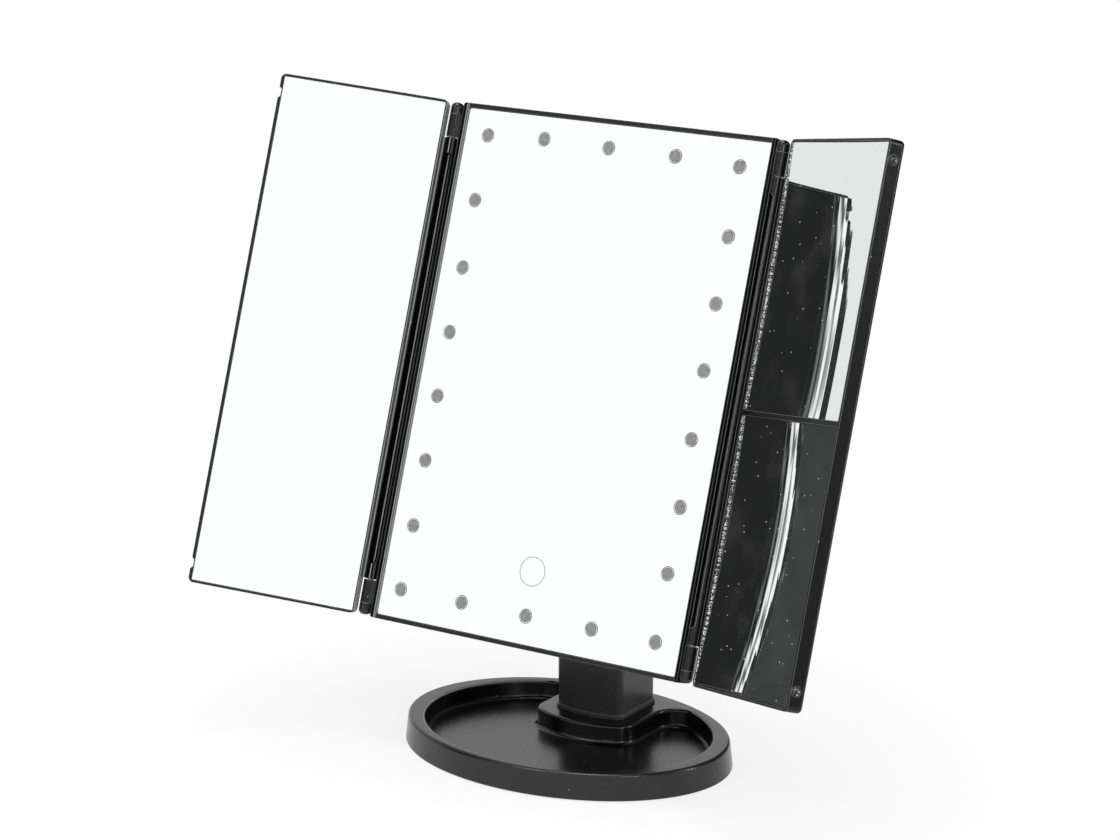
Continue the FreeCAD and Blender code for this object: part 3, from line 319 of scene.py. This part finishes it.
# %% Places of the head and the wings
head_lean = math.radians(19.3)
left_fold, right_fold = 20.7, 31.1
bolt = Vector((0.0, 26.0, 112.0))
mirror_from_bolt = Vector((0.0, -43.5, 50.2))
hinge_from_middle, hinge_in_front = 86.35, 1.0
head_place = (Matrix.Scale(MM, 4) @ Matrix.Translation(bolt) @ Matrix.Rotation(-head_lean, 4, "X")
              @ Matrix.Translation(mirror_from_bolt))


def wing_place(side, fold_degrees):
    """Carries a wing's drawing, x outward from its hinge, to the wing on one side: -1 left or 1 right."""
    turn = Matrix.Rotation(math.radians(-side * fold_degrees), 4, "Z")
    hinge = Matrix.Translation((side * hinge_from_middle, -hinge_in_front, 0.0))
    return head_place @ hinge @ turn @ Matrix.Diagonal((side, 1, 1, 1))


left_place = wing_place(-1, left_fold)
right_place = wing_place(1, right_fold)
for name, place in (("left", left_place), ("right", right_place)):
    print(name, "hinge at", [round(v / MM, 1) for v in place.translation], "mm")

# %% [markdown]
# Beside each hinge the frames have narrow ledges and a long groove. The ledges are painted grey and bright
# as highlights, partly also wear and dust, and the groove is painted black as shade. The lines could be thin
# strips, but they have no height of their own, so they are tones in the finish: a ramp across the drawing,
# in millimetres from the hinge or from the middle. A ramp keeps 256 tones, so each side of the middle frame
# has its own.

# %% Lines along a piece
def soft_lines(soft, *stretches):
    """Rows for lines side by side, from stretches of start, end and tone, with soft borders."""
    rows = [(stretches[0][0] - soft / 2, stretches[0][2], 0)]
    for begin, end, tone in stretches:
        rows += [(begin + soft / 2, tone, 1), (end - soft / 2, tone, 1)]
    return rows + [(stretches[-1][1] + soft / 2, stretches[-1][2], 0)]


def line_ramp(tree, across, rows):
    """Tones across a set of lines: rows of place, hex colour and share."""
    low, high = rows[0][0], rows[-1][0]
    along = node(tree, "ShaderNodeMapRange", {"From Min": low, "From Max": high}, {"Value": across})
    stops = [((at - low) / (high - low), (*colour(tint)[:3], share)) for at, tint, share in rows]
    return node(tree, "ShaderNodeValToRGB", None, {"Fac": along.outputs["Result"]}, stops).outputs


def upright_lines(drawing, depth, rows):
    """Lines that run up a drawing, on all in front of a depth. Places are in mm across the drawing."""
    flat = drawing.inverted()

    def on_axis(tree, place, axis):
        share = node(tree, "ShaderNodeVectorMath", {1: flat[axis][:3]}, {0: place}, operation="DOT_PRODUCT")
        return node(tree, "ShaderNodeMath", {1: flat[axis][3]}, {0: share.outputs["Value"]}).outputs[0]

    def lines(tree, place):
        ramp = line_ramp(tree, on_axis(tree, place, 0), rows)
        in_front = node(tree, "ShaderNodeMath", {1: depth}, {0: on_axis(tree, place, 1)},
                        operation="LESS_THAN")
        amount = node(tree, "ShaderNodeMath", None, {0: ramp["Alpha"], 1: in_front.outputs[0]},
                      operation="MULTIPLY")
        return ramp["Color"], amount.outputs[0]

    return lines


def oval_lines(width, depth, rows):
    """Lines round an oval that lies flat on the table. Places are in parts of that oval's size."""
    def lines(tree, place):
        scaled = node(tree, "ShaderNodeVectorMath", {1: (2 / (width * MM), 2 / (depth * MM), 0)}, {0: place},
                      operation="MULTIPLY")
        across = node(tree, "ShaderNodeVectorMath", None, {0: scaled.outputs["Vector"]}, operation="LENGTH")
        ramp = line_ramp(tree, across.outputs["Value"], rows)
        return ramp["Color"], ramp["Alpha"]

    return lines


def both(first, second):
    """Two sets of lines in different places, as one."""
    def lines(tree, place):
        (tone, amount), (other_tone, other_amount) = first(tree, place), second(tree, place)
        tone = node(tree, "ShaderNodeMix", None, {SHARE: other_amount, FIRST: tone, SECOND: other_tone},
                    data_type="RGBA")
        amount = node(tree, "ShaderNodeMath", None, {0: amount, 1: other_amount}, operation="MAXIMUM")
        return tone.outputs[MIXED], amount.outputs[0]

    return lines


print("a border 0.2 mm soft takes the rows", soft_lines(0.2, (0.0, 1.0, "484849")))

# %% [markdown]
# Four pieces get finishes of their own. The left wing and the middle frame have lines beside their hinges:
# painted highlights on the ledges, partly also wear and dust, and painted shade in the groove. The tray keeps
# more of its gloss, and a painted highlight runs round the inner edge of its rim. The post, by which the
# mirror is carried about, is a lighter grey: painted light that stands in for light falling on it.

# %% Painted light on hinge sides, tray rim and post
# Painted light: the groove tone is painted shade, the ledge tone a painted sheen with some wear, and the
# bright tone painted highlight lines, on the hinge sides and round the tray's rim.
painted_groove_shade, ledge_wear_and_painted_sheen, painted_highlight_line = "060606", "484849", "a4a4a5"
line_blur, rim_blur = 0.2, 0.004
wing_line_depth, ledge_depth = 7.5, 0.3
tray_width, tray_depth = 141.0, 108.6
wing_lines = soft_lines(
    line_blur, (-2.7, -1.8, painted_groove_shade), (-1.8, -0.95, ledge_wear_and_painted_sheen), (-0.95, -0.1, painted_groove_shade),
    (-0.1, 0.35, painted_highlight_line), (0.35, 3.2, painted_groove_shade), (3.2, 3.65, ledge_wear_and_painted_sheen), (3.65, 4.15, painted_highlight_line),
    (4.15, 5.15, ledge_wear_and_painted_sheen), (5.15, 5.6, painted_highlight_line), (5.6, 6.1, ledge_wear_and_painted_sheen), (6.1, 6.5, painted_groove_shade))
left_ledge_lines = soft_lines(
    line_blur, (-84.0, -82.8, ledge_wear_and_painted_sheen), (-82.8, -81.5, painted_groove_shade), (-81.5, -81.0, painted_highlight_line),
    (-81.0, -80.5, ledge_wear_and_painted_sheen), (-80.5, -80.2, painted_highlight_line))
right_ledge_lines = soft_lines(
    line_blur, (80.2, 80.7, ledge_wear_and_painted_sheen), (80.7, 81.6, painted_groove_shade), (81.6, 82.1, ledge_wear_and_painted_sheen),
    (82.1, 84.4, painted_groove_shade))
rim_lines = soft_lines(rim_blur, (1.003, 1.015, painted_highlight_line))
# These finishes carry painted light: hinge lines of painted highlight and shade, a painted rim highlight on
# the tray, and a lighter post.
painted_light = {
    "left_wing_frame": eroded_abs("black_abs_wing_painted_hinge_light",
                                  lines=upright_lines(left_place, wing_line_depth, wing_lines)),
    "centre_frame": eroded_abs("black_abs_middle_painted_hinge_light",
                               lines=both(upright_lines(head_place, ledge_depth, left_ledge_lines),
                                          upright_lines(head_place, ledge_depth, right_ledge_lines))),
    "base_tray": eroded_abs("spark_eroded_black_abs_tray_painted_rim_highlight", ("070708", "0f0f10"), gloss=0.48,
                            lines=oval_lines(tray_width, tray_depth, rim_lines)),
    # The post's lighter grey is painted light.
    "post": eroded_abs("black_abs_post_painted_light", ("3a3a3b", "464648"), cloud_mm=18.0, roughness=(0.2, 0.34),
                       gloss=0.22),
}
print("worn finishes for", *painted_light)

# %% [markdown]
# Each node of the model names a material slot in its record, so one table from slot to finish dresses
# nearly all of them, and a node that is added later finds its finish by itself. The exceptions go by name:
# the pieces with painted light, and the hinge caps, which are black plastic too, but from the smoother tool.

# %% Dress the solids
finish_for_slot = {
    "black_plastic": moulded_abs, "pad_rubber": pad_foam, "mirror_glass": silvered_glass, "steel": zinc_steel,
    "washer_plastic": nylon, "foam_tape": foam_tape, "strip_white": strip_lacquer, "light_chip": phosphor,
    "copper_foil": copper, "cell_can": cell_sleeve, "contact_metal": nickel_strip, "board_green": green_board,
    "switch_plastic": switch_abs, "wire_cover": red_sleeve,
}
finish_for_node = {"left_hinge_caps": smooth_abs, "right_hinge_caps": smooth_abs, **painted_light}
slot_of = {row["node"]: row["material_slot"] for row in frame["record"]["subparts"]}
for name, piece in frame["nodes"].items():
    piece.data.materials.clear()
    piece.data.materials.append(finish_for_node.get(name, finish_for_slot[slot_of[name]]))
print("dressed", len(frame["nodes"]), "nodes,", len(finish_for_node), "of them by name")

# %% [markdown]
# What is too thin or too finely bent for a solid is drawn point by point as a mesh, because modifiers would
# give less say over where each point goes. A few small functions do what all these drawings need: faces
# between two loops of points, closed ends, and the step from a drawing to a piece that rides on its body.

# %% From a drawing to a piece
def bridge(mesh, inner, outer):
    """The faces between two closed loops of points."""
    count = len(inner)
    return [mesh.faces.new((inner[k], inner[(k + 1) % count], outer[(k + 1) % count], outer[k]))
            for k in range(count)]


def close_ends(mesh, loops):
    """Fills the first and the last of a row of loops."""
    mesh.faces.new(loops[0])
    mesh.faces.new(loops[-1][::-1])


def add_piece(name, mesh, place, body, slot, *finishes):
    """Turns a bmesh drawn in millimetres into a piece that rides on a body."""
    mesh.transform(place)
    bmesh.ops.recalc_face_normals(mesh, faces=mesh.faces)
    data = bpy.data.meshes.new(name)
    mesh.to_mesh(data)
    mesh.free()
    for finish in finishes:
        data.materials.append(finish)
    piece = bpy.data.objects.new(name, data)
    bpy.context.scene.collection.objects.link(piece)
    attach(piece, body)
    print(name, "has", len(data.vertices), "points")
    return piece


# %% [markdown]
# The magnifiers are thin acrylic sheets, bowed back in their middle. Nobody sees that head-on, but a mirror
# that looks into another mirror shows it as bright curved lines. A solid's facets would break those lines
# up, and bump would not survive the export as a shape, so the faces are drawn as fine smooth grids. A faint
# ripple from rolling the sheet draws the narrow streaks.

# %% A sheet with a bent face
sheet_inner, sheet_outer = 6.2, 84.3
sheet_end, divider_half = 119.3, 1.4


def steps(low, high, count):
    """Evenly spaced places from low to high."""
    return [low + (high - low) * i / count for i in range(count + 1)]


def waves(at, rows):
    """A sum of sine waves: rows of height, radians per millimetre and start."""
    return sum(height * math.sin(at * pitch + start) for height, pitch, start in rows)


def bent_sheet(columns, rows, depth_at, thickness):
    """A closed sheet. columns and rows are places across and up it, depth_at gives the depth of its face."""
    mesh = bmesh.new()
    rims = []
    for behind in (0.0, thickness):
        grid = [[mesh.verts.new((x, depth_at(x, z) + behind, z)) for x in columns] for z in rows]
        for low, high in zip(grid, grid[1:]):
            for i in range(len(columns) - 1):
                mesh.faces.new((low[i], low[i + 1], high[i + 1], high[i])).smooth = True
        right, left = [row[-1] for row in grid[1:-1]], [row[0] for row in grid[-2:0:-1]]
        rims.append(grid[0] + right + grid[-1][::-1] + left)
    bridge(mesh, *rims)
    for rim in rims:
        for here, there in zip(rim, rim[1:] + rim[:1]):
            mesh.edges.get((here, there)).smooth = False
    return mesh


print("a wing's opening is", round(sheet_outer - sheet_inner, 1), "by", 2 * sheet_end, "mm")

# %% Upper and lower magnifier
acrylic_thick = 1.0
magnifier_steps_across, magnifier_steps_up = 156, 28
rolling_waves = ((0.00010, 1.31, 0.0), (0.00006, 2.17, 0.9), (0.00004, 3.39, 2.1))


def magnifier_face(z_low, z_high, middle_depth, radius_across, radius_up, slant_across, slant_up):
    """The depth of a magnifier's face: bowed across and up, and set at a slight slant in its opening."""
    x_middle, z_middle = (sheet_inner + sheet_outer) / 2, (z_low + z_high) / 2
    rise_across, rise_up = math.radians(slant_across), math.radians(slant_up)

    def depth_at(x, z):
        across, up = x - x_middle, z - z_middle
        bow = across ** 2 / (2 * radius_across) + up ** 2 / (2 * radius_up)
        return middle_depth - bow + rise_across * across + rise_up * up + waves(x, rolling_waves)

    return depth_at


magnifiers = {
    "upper_magnifier": {
        "z_low": divider_half, "z_high": sheet_end, "middle_depth": 3.0, "radius_across": 1205.0,
        "radius_up": 2472.0, "slant_across": 0.709, "slant_up": -0.174},
    "lower_magnifier": {
        "z_low": -sheet_end, "z_high": -divider_half, "middle_depth": 3.3, "radius_across": 1205.0,
        "radius_up": 1578.0, "slant_across": 0.835, "slant_up": 0.365},
}
magnifier_columns = steps(sheet_inner, sheet_outer, magnifier_steps_across)
for name, form in magnifiers.items():
    magnifier_rows = steps(form["z_low"], form["z_high"], magnifier_steps_up)
    sheet = bent_sheet(magnifier_columns, magnifier_rows, magnifier_face(**form), acrylic_thick)
    piece = add_piece(name + "_sheet", sheet, right_place, "right_wing", "mirror_glass", silvered_acrylic)
    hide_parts(name)

# %% [markdown]
# The plain mirror of the left wing is flat glass, but along its outer edge it curls forward by about a
# sixth of a millimetre and has a few fine waves. The magnifiers, which look at it from the side, draw that
# edge out into bright streaks. Only the curled strip needs a fine grid, so the columns are close together
# there.

# %% Plain mirror of the left wing
glass_thick, flush_depth = 1.8, 0.53
curl_width, curl_slope, curl_power = 5.0, math.radians(4.6), 2.5
wave_width, wave_length, wave_height = 10.5, 1.85, 0.010
flat_steps, wave_steps, plain_steps_up = 8, 84, 12


def plain_face(x, z):
    """Flat, but for the outer edge, which curls forward more and more and has a few fine waves."""
    from_edge = sheet_outer - x
    curl = max(0.0, 1 - from_edge / curl_width)
    near = max(0.0, 1 - from_edge / wave_width)
    wave = wave_height * near * math.sin(2 * math.pi * from_edge / wave_length)
    return flush_depth - curl_slope * curl_width * curl ** curl_power / curl_power + wave


wave_start = sheet_outer - wave_width
plain_columns = steps(sheet_inner, wave_start, flat_steps) + steps(wave_start, sheet_outer, wave_steps)[1:]
sheet = bent_sheet(plain_columns, steps(-sheet_end, sheet_end, plain_steps_up), plain_face, glass_thick)
piece = add_piece("left_wing_mirror_sheet", sheet, left_place, "left_wing", "mirror_glass", silvered_glass)
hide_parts("left_wing_mirror")

# %% [markdown]
# Round the middle mirror the silver was blasted away in 22 spots and the glass frosted, so that a light
# behind each one glows through. Unlit, a spot is a grey disc with a narrow ground edge that catches the
# light on one side. A mask in the mirror's finish would be flat in the exported model, so a spot is drawn
# as a very shallow raised disc, a tenth of a millimetre high. The blasted grain is drawn at half a
# millimetre, coarser than the real one, so that it shows. The mask was laid by hand, so the spots stray
# from their grid by up to 1.7 mm, and each has its own small slip to the right and up.

# %% Frosted finishes
frosted_glass = grained("sand_blasted_glass", ("868685", "a6a6a5"), cloud_mm=1.3, grain_mm=0.5,
                        height_mm=0.03, roughness=(0.6, 0.8), sockets={"IOR": 1.5, "Specular IOR Level": 0.2},
                        edge_mm=0.05, drift=(0.2, 0.8))
mask_line = grained("sand_blasted_mask_line", ("5c5c5b", "747473"), cloud_mm=1.2, grain_mm=0.5,
                    height_mm=0.02, roughness=(0.5, 0.7), sockets={"IOR": 1.5, "Specular IOR Level": 0.2},
                    edge_mm=0.05)
ground_edge = grained("ground_glass_edge", ("a8a8a7", "f6f6f5"), cloud_mm=2.0, grain_mm=0.5, height_mm=0.02,
                      roughness=(0.4, 0.55), sockets={"IOR": 1.5, "Specular IOR Level": 0.3}, edge_mm=0.05,
                      drift=(0.35, 0.65))
print("frosted:", frosted_glass.name, mask_line.name, ground_edge.name)

# %% Frosted light spots
def turned(mesh, centre, rings, sides, finish_of_ring=None):
    """A round shallow form. rings are radius and height pairs, from the middle out, height to the front."""
    angles = [2 * math.pi * k / sides for k in range(sides)]
    loops = [[mesh.verts.new((centre[0] + radius * math.cos(angle), -height,
                              centre[1] + radius * math.sin(angle))) for angle in angles]
             for radius, height in rings]
    for ring, (inner, outer) in enumerate(zip(loops, loops[1:])):
        for face in bridge(mesh, inner, outer):
            face.material_index = finish_of_ring[ring] if finish_of_ring else 0
    return loops


spot_pitch_across, spot_pitch_up = 34.0, 30.3
spots_across, spots_up = 5, 8
spot_middle = (-1.4, 0.55)
spot_slips = {
    (0, 0): (1.7, 0.1), (0, 1): (-1.6, 1.5), (0, 2): (-0.8, 1.0), (0, 3): (0.3, 0.9), (0, 4): (-0.5, -0.3),
    (1, 0): (1.1, 0.1), (2, 0): (1.1, -1.1), (3, 0): (0.5, -1.1), (4, 0): (0.3, -0.5), (5, 0): (0.2, -0.4),
    (6, 0): (0.2, -0.4), (1, 4): (0.2, -1.2), (2, 4): (0.1, -0.9), (3, 4): (0.2, -0.4), (4, 4): (0.3, -0.8),
    (5, 4): (0.8, -0.5), (6, 4): (0.7, 0.2), (7, 0): (-0.1, 0.1), (7, 1): (-0.3, -0.1), (7, 2): (0.7, -0.3),
    (7, 3): (1.6, 0.0), (7, 4): (0.8, 0.1),
}
spot_rings = ((0.35, 0.10), (1.4, 0.10), (2.3, 0.10), (2.6, 0.06), (3.05, 0.12), (3.35, 0.02))
spot_finishes = (0, 0, 1, 2, 1)
spot_sides = 40
mesh = bmesh.new()
for (row, column), (right, up) in spot_slips.items():
    centre = (spot_middle[0] + spot_pitch_across * (column - (spots_across - 1) / 2) + right,
              spot_middle[1] + spot_pitch_up * ((spots_up - 1) / 2 - row) + up)
    close_ends(mesh, turned(mesh, centre, spot_rings, spot_sides, spot_finishes))
add_piece("light_spots", mesh, head_place, "head", "mirror_glass", frosted_glass, mask_line, ground_edge)

# %% [markdown]
# Low on the mirror a fine frosted ring shows where to touch for the light. The sensor is foil behind the
# glass, so the ring is only a line, half a millimetre wide. It is drawn as a very low rounded ridge, for
# the same reason as the spots.

# %% Touch ring
ring_middle = (-1.4, -85.65)
ring_radius, ring_line = 6.55, 0.5
ridge_foot, ridge_top = 0.01, 0.05
ring_sides = 72
ridge = [(ring_radius - ring_line / 2, ridge_foot), (ring_radius - ring_line / 4, ridge_top),
         (ring_radius + ring_line / 4, ridge_top), (ring_radius + ring_line / 2, ridge_foot)]
mesh = bmesh.new()
loops = turned(mesh, ring_middle, ridge, ring_sides)
bridge(mesh, loops[-1], loops[0])
frosted_line = grained("frosted_ring_line", ("b4b4b3", "dededd"), cloud_mm=2.2, grain_mm=0.5, height_mm=0.01,
                       roughness=(0.4, 0.55), sockets={"IOR": 1.5, "Specular IOR Level": 0.2}, edge_mm=0.05)
add_piece("touch_ring", mesh, head_place, "head", "mirror_glass", frosted_line)

# %% [markdown]
# Along the hinge each magnifier is held by a bead of clear adhesive that has squeezed out and set in small
# lumps. The bead reads as a dotted bright line: its colour is painted in patches of black and near-white,
# and the near-white patches are painted glints. A curve with a round bevel would be even all along, so it is
# a mesh: a quarter round between the frame's lip and the sheet, with three overlaid waves that make it swell
# and shrink on its way down. Its front stays behind the lip, clear of the closed frame.

# %% Adhesive beads
bead_inner, bead_height, bead_front = 6.05, 0.65, 0.56
bead_middle, bead_foot = 0.5, 0.05
bead_waves = ((0.15, 2.7, 0.0), (0.15, 1.63, 1.0), (0.1, 4.9, 2.0))
bead_steps, arc_steps = 220, 5


def adhesive_bead(face, z_low, z_high):
    """A closed bead along a magnifier's inner side. face gives the depth of the sheet."""
    mesh = bmesh.new()
    rings = []
    for z in steps(z_low, z_high, bead_steps):
        width = bead_middle + waves(z, bead_waves)
        top = max(bead_front, face(bead_inner, z) - bead_height * width / bead_middle)
        ring = [mesh.verts.new((bead_inner, face(bead_inner, z) + bead_foot, z))]
        for turn in steps(0.0, math.pi / 2, arc_steps):
            x = bead_inner + width * math.sin(turn)
            foot = face(x, z) + bead_foot
            ring.append(mesh.verts.new((x, top + (foot - top) * (1 - math.cos(turn)), z)))
        rings.append(ring)
    for low, high in zip(rings, rings[1:]):
        for side in bridge(mesh, low, high):
            side.smooth = True
    close_ends(mesh, rings)
    return mesh


# The near-white patches of this finish are painted glints.
adhesive_painted_glints = grained("clear_adhesive_painted_glints", ("020202", "fafaf8"), cloud_mm=0.6, grain_mm=0.6, height_mm=0.1,
                   roughness=(0.08, 0.2), sockets={"IOR": 1.46, "Specular IOR Level": 0.5}, edge_mm=0.05,
                   drift=(0.48, 0.6))
for name, form in magnifiers.items():
    bead = adhesive_bead(magnifier_face(**form), form["z_low"], form["z_high"])
    add_piece(name + "_bead", bead, right_place, "right_wing", "mirror_glass", adhesive_painted_glints)

# %% [markdown]
# Two nubs on the outer side of the right wing snap into notches of the left one when the mirror is folded
# shut. The nubs are solids of the frame and share its finish, so a low dome with a coarse patchy gloss sits
# on each tip; its colour is painted in black and near-white patches, and the near-white ones are painted
# glints.

# %% Nub tips with painted glints
nub_tip, nub_depth, nub_height = 86.86, 3.1, 111.65
dome_rings = ((0.25, 0.34), (0.9, 0.30), (1.4, 0.18), (1.75, 0.0))
dome_sides = 32
face_outward = Matrix.Rotation(math.pi / 2, 4, "Z")
# The near-white patches of this finish are painted glints.
nub_tip_painted_glints = grained("black_abs_painted_glints", ("040404", "f0f0f0"), cloud_mm=1.6, grain_mm=0.7, height_mm=0.2,
                      roughness=(0.1, 0.3), sockets={"IOR": abs_ior, "Specular IOR Level": 0.5}, edge_mm=0.1,
                      drift=(0.5, 0.66))
for end, name in ((1, "upper"), (-1, "lower")):
    mesh = bmesh.new()
    close_ends(mesh, turned(mesh, (0.0, 0.0), dome_rings, dome_sides))
    nub_place = right_place @ Matrix.Translation((nub_tip, nub_depth, end * nub_height)) @ face_outward
    add_piece(name + "_nub_tip", mesh, nub_place, "right_wing", "black_plastic", nub_tip_painted_glints)

# %% [markdown]
# The table is a plain pale disc. Its own colour and the light on it make it white, so it keeps the soft
# shadow of the base. A wide plane would show its far edge, so towards its rim the disc fades into the white
# of the room.

# %% Floor
floor_radius, floor_sides = 0.75, 96
fade_begins, fade_ends, least_fade = 0.06, 0.26, 0.8


def background_rays(tree):
    """Masks for the rays that come from a mirror or through glass, and for these and the camera's own."""
    rays = node(tree, "ShaderNodeLightPath").outputs
    mirrored = node(tree, "ShaderNodeMath", None, {0: rays["Is Glossy Ray"], 1: rays["Is Transmission Ray"]},
                    operation="MAXIMUM").outputs[0]
    seen = node(tree, "ShaderNodeMath", None, {0: rays["Is Camera Ray"], 1: mirrored}, operation="MAXIMUM")
    return mirrored, seen.outputs[0]


mesh = bmesh.new()
bmesh.ops.create_circle(mesh, cap_ends=True, segments=floor_sides, radius=floor_radius)
floor_data = bpy.data.meshes.new("floor")
mesh.to_mesh(floor_data)
mesh.free()
floor = bpy.data.objects.new("floor", floor_data)
bpy.context.scene.collection.objects.link(floor)
floor_finish, tree = new_finish("pale_floor")
place = node(tree, "ShaderNodeTexCoord").outputs["Object"]
from_middle = node(tree, "ShaderNodeVectorMath", None, {0: place}, operation="LENGTH")
fade = node(tree, "ShaderNodeMapRange",
            {"From Min": fade_begins, "From Max": fade_ends, "To Min": least_fade},
            {"Value": from_middle.outputs["Value"]}, interpolation_type="SMOOTHSTEP")
seen = background_rays(tree)[1]
faded = node(tree, "ShaderNodeMath", None, {0: fade.outputs["Result"], 1: seen}, operation="MULTIPLY")
paper = node(tree, "ShaderNodeBsdfDiffuse", {"Color": colour("fbfbfb")})
white = node(tree, "ShaderNodeEmission", {"Color": colour("ffffff"), "Strength": 1.0})
shade = node(tree, "ShaderNodeMixShader", None,
             {0: faded.outputs[0], 1: paper.outputs["BSDF"], 2: white.outputs["Emission"]})
node(tree, "ShaderNodeOutputMaterial", None, {"Surface": shade.outputs["Shader"]})
floor_data.materials.append(floor_finish)
print("floor is", 2 * floor_radius, "m across and fades from", fade_begins, "to", fade_ends, "m")

# %% [markdown]
# The room is a white tent, plain and even, with two gaps in its wall: one at the far left, where the darker
# room shows, and a narrow one straight behind, which keeps the hinge sides of the frames dark. Little but
# the mirrors sees the first gap: the wings pass it on to each other, and it is the dark picture in the
# magnifiers. Real walls would stand in the way of other views, so the tent is the world itself. Its
# brightness goes by compass direction, once for what is above the table's height and once for what is
# below, and the camera sees plain white everywhere.

# %% The tent and its gaps
scene = bpy.context.scene
scene.view_settings.view_transform = "Standard"
world = bpy.data.worlds.new("tent")
scene.world = world
world.use_nodes = True
tree = world.node_tree
tree.nodes.clear()
below_ends, above_begins = math.radians(0.8), math.radians(1.8)
fill_strength = 0.5


def compass_stops(*rows):
    """A ramp's stops from rows of bearing, in degrees from the front to the right, and grey level."""
    return [((degrees + 180) / 360, (level, level, level, 1)) for degrees, level in rows]


above_stops = compass_stops(
    (-170, 0.1), (-162, 1.0), (-112, 1.0), (-104, 0.84), (-72, 0.84), (-66, 0.022), (-50.5, 0.018),
    (-48, 0.13), (-46, 0.5), (-43.5, 1.0), (30, 1.0), (45, 0.5), (110, 0.4), (140, 0.2), (174, 0.1))
below_stops = compass_stops(
    (-170, 0.1), (-162, 1.0), (-112, 1.0), (-104, 0.052), (-72, 0.052), (-48, 0.03), (-42, 0.9), (30, 0.9),
    (45, 0.5), (140, 0.2), (174, 0.1))
direction = node(tree, "ShaderNodeTexCoord").outputs["Generated"]
parts = node(tree, "ShaderNodeSeparateXYZ", None, {0: direction}).outputs
front = node(tree, "ShaderNodeMath", {1: -1.0}, {0: parts["Y"]}, operation="MULTIPLY")
turn = node(tree, "ShaderNodeMath", None, {0: parts["X"], 1: front.outputs[0]}, operation="ARCTAN2")
bearing = node(tree, "ShaderNodeMapRange", {"From Min": -math.pi, "From Max": math.pi},
               {"Value": turn.outputs[0]}).outputs["Result"]
above = node(tree, "ShaderNodeValToRGB", None, {"Fac": bearing}, above_stops).outputs["Color"]
below = node(tree, "ShaderNodeValToRGB", None, {"Fac": bearing}, below_stops).outputs["Color"]
lift = node(tree, "ShaderNodeMapRange",
            {"From Min": math.sin(below_ends), "From Max": math.sin(above_begins)}, {"Value": parts["Z"]})
around = node(tree, "ShaderNodeMix", None, {SHARE: lift.outputs["Result"], FIRST: below, SECOND: above},
              data_type="RGBA")
mirrored, seen = background_rays(tree)
tint = node(tree, "ShaderNodeMix", {FIRST: colour("ffffff")},
            {SHARE: mirrored, SECOND: around.outputs[MIXED]}, data_type="RGBA")
level = node(tree, "ShaderNodeMapRange", {"To Min": fill_strength, "To Max": 1.0}, {"Value": seen})
light = node(tree, "ShaderNodeBackground", None,
             {"Color": tint.outputs[MIXED], "Strength": level.outputs["Result"]})
node(tree, "ShaderNodeOutputWorld", None, {"Surface": light.outputs["Background"]})
print("tent has", len(above_stops), "tones above the table's height and", len(below_stops), "below")

# %% [markdown]
# Black plastic shows little but its highlights, so soft lamps draw its shape: points of light would leave
# hard spots. A large lamp overhead shapes the tray and the tops of the frames. One in front at the left
# hangs above what the mirrors see, and two narrow upright ones, at the right and in front at the right,
# draw the long lines on lips, post and hinges. Together with the tent they give white paper a brightness of
# about one.

# %% Lamps
def soft_lamp(name, place, aim, size, watts):
    """A rectangular lamp at a place, turned to what it aims at. Lengths are in metres."""
    lamp = bpy.data.lights.new(name, "AREA")
    lamp.shape = "RECTANGLE"
    lamp.size, lamp.size_y = size
    lamp.energy = watts
    stand = bpy.data.objects.new(name, lamp)
    stand.location = place
    stand.rotation_euler = (Vector(aim) - Vector(place)).to_track_quat("-Z", "Y").to_euler()
    scene.collection.objects.link(stand)
    print(name, watts, "W at", place)


tray_above, head_foot = (0.0, 0.0, 0.1), (0.0, 0.0, 0.15)
soft_lamp("top_lamp", (-0.10, -0.05, 1.35), tray_above, (0.45, 0.45), 5.0)
soft_lamp("key_lamp", (-0.50, -1.06, 1.30), head_foot, (0.3, 0.3), 3.4)
soft_lamp("right_lamp", (1.02, 0.22, 0.40), head_foot, (0.12, 0.9), 2.4)
soft_lamp("front_lamp", (1.07, -1.00, 0.81), head_foot, (0.2, 0.6), 3.0)

# %% [markdown]
# The camera stands where the picture was taken from: to the right, a little above, with a long lens, so
# that upright lines hardly lean. It could be placed by eye, but angle, distance and lens were fitted to the
# light spots and the corners of the wings, which comes closer.

# %% Camera
camera_data = bpy.data.cameras.new("camera")
camera_data.lens = 110.48
camera_data.sensor_width = 36.0
camera = bpy.data.objects.new("camera", camera_data)
scene.collection.objects.link(camera)
azimuth = math.radians(33.135)
elevation = math.radians(15.212)
distance = 1.5466
target = Vector((-4.13, 0.0, 156.83)) * MM
away = Vector((math.sin(azimuth) * math.cos(elevation), -math.cos(azimuth) * math.cos(elevation),
               math.sin(elevation)))
camera.location = target + away * distance
camera.rotation_euler = (-away).to_track_quat("-Z", "Y").to_euler()
scene.camera = camera
print("camera at", [round(v, 3) for v in camera.location], "m, lens", round(camera_data.lens, 2), "mm")
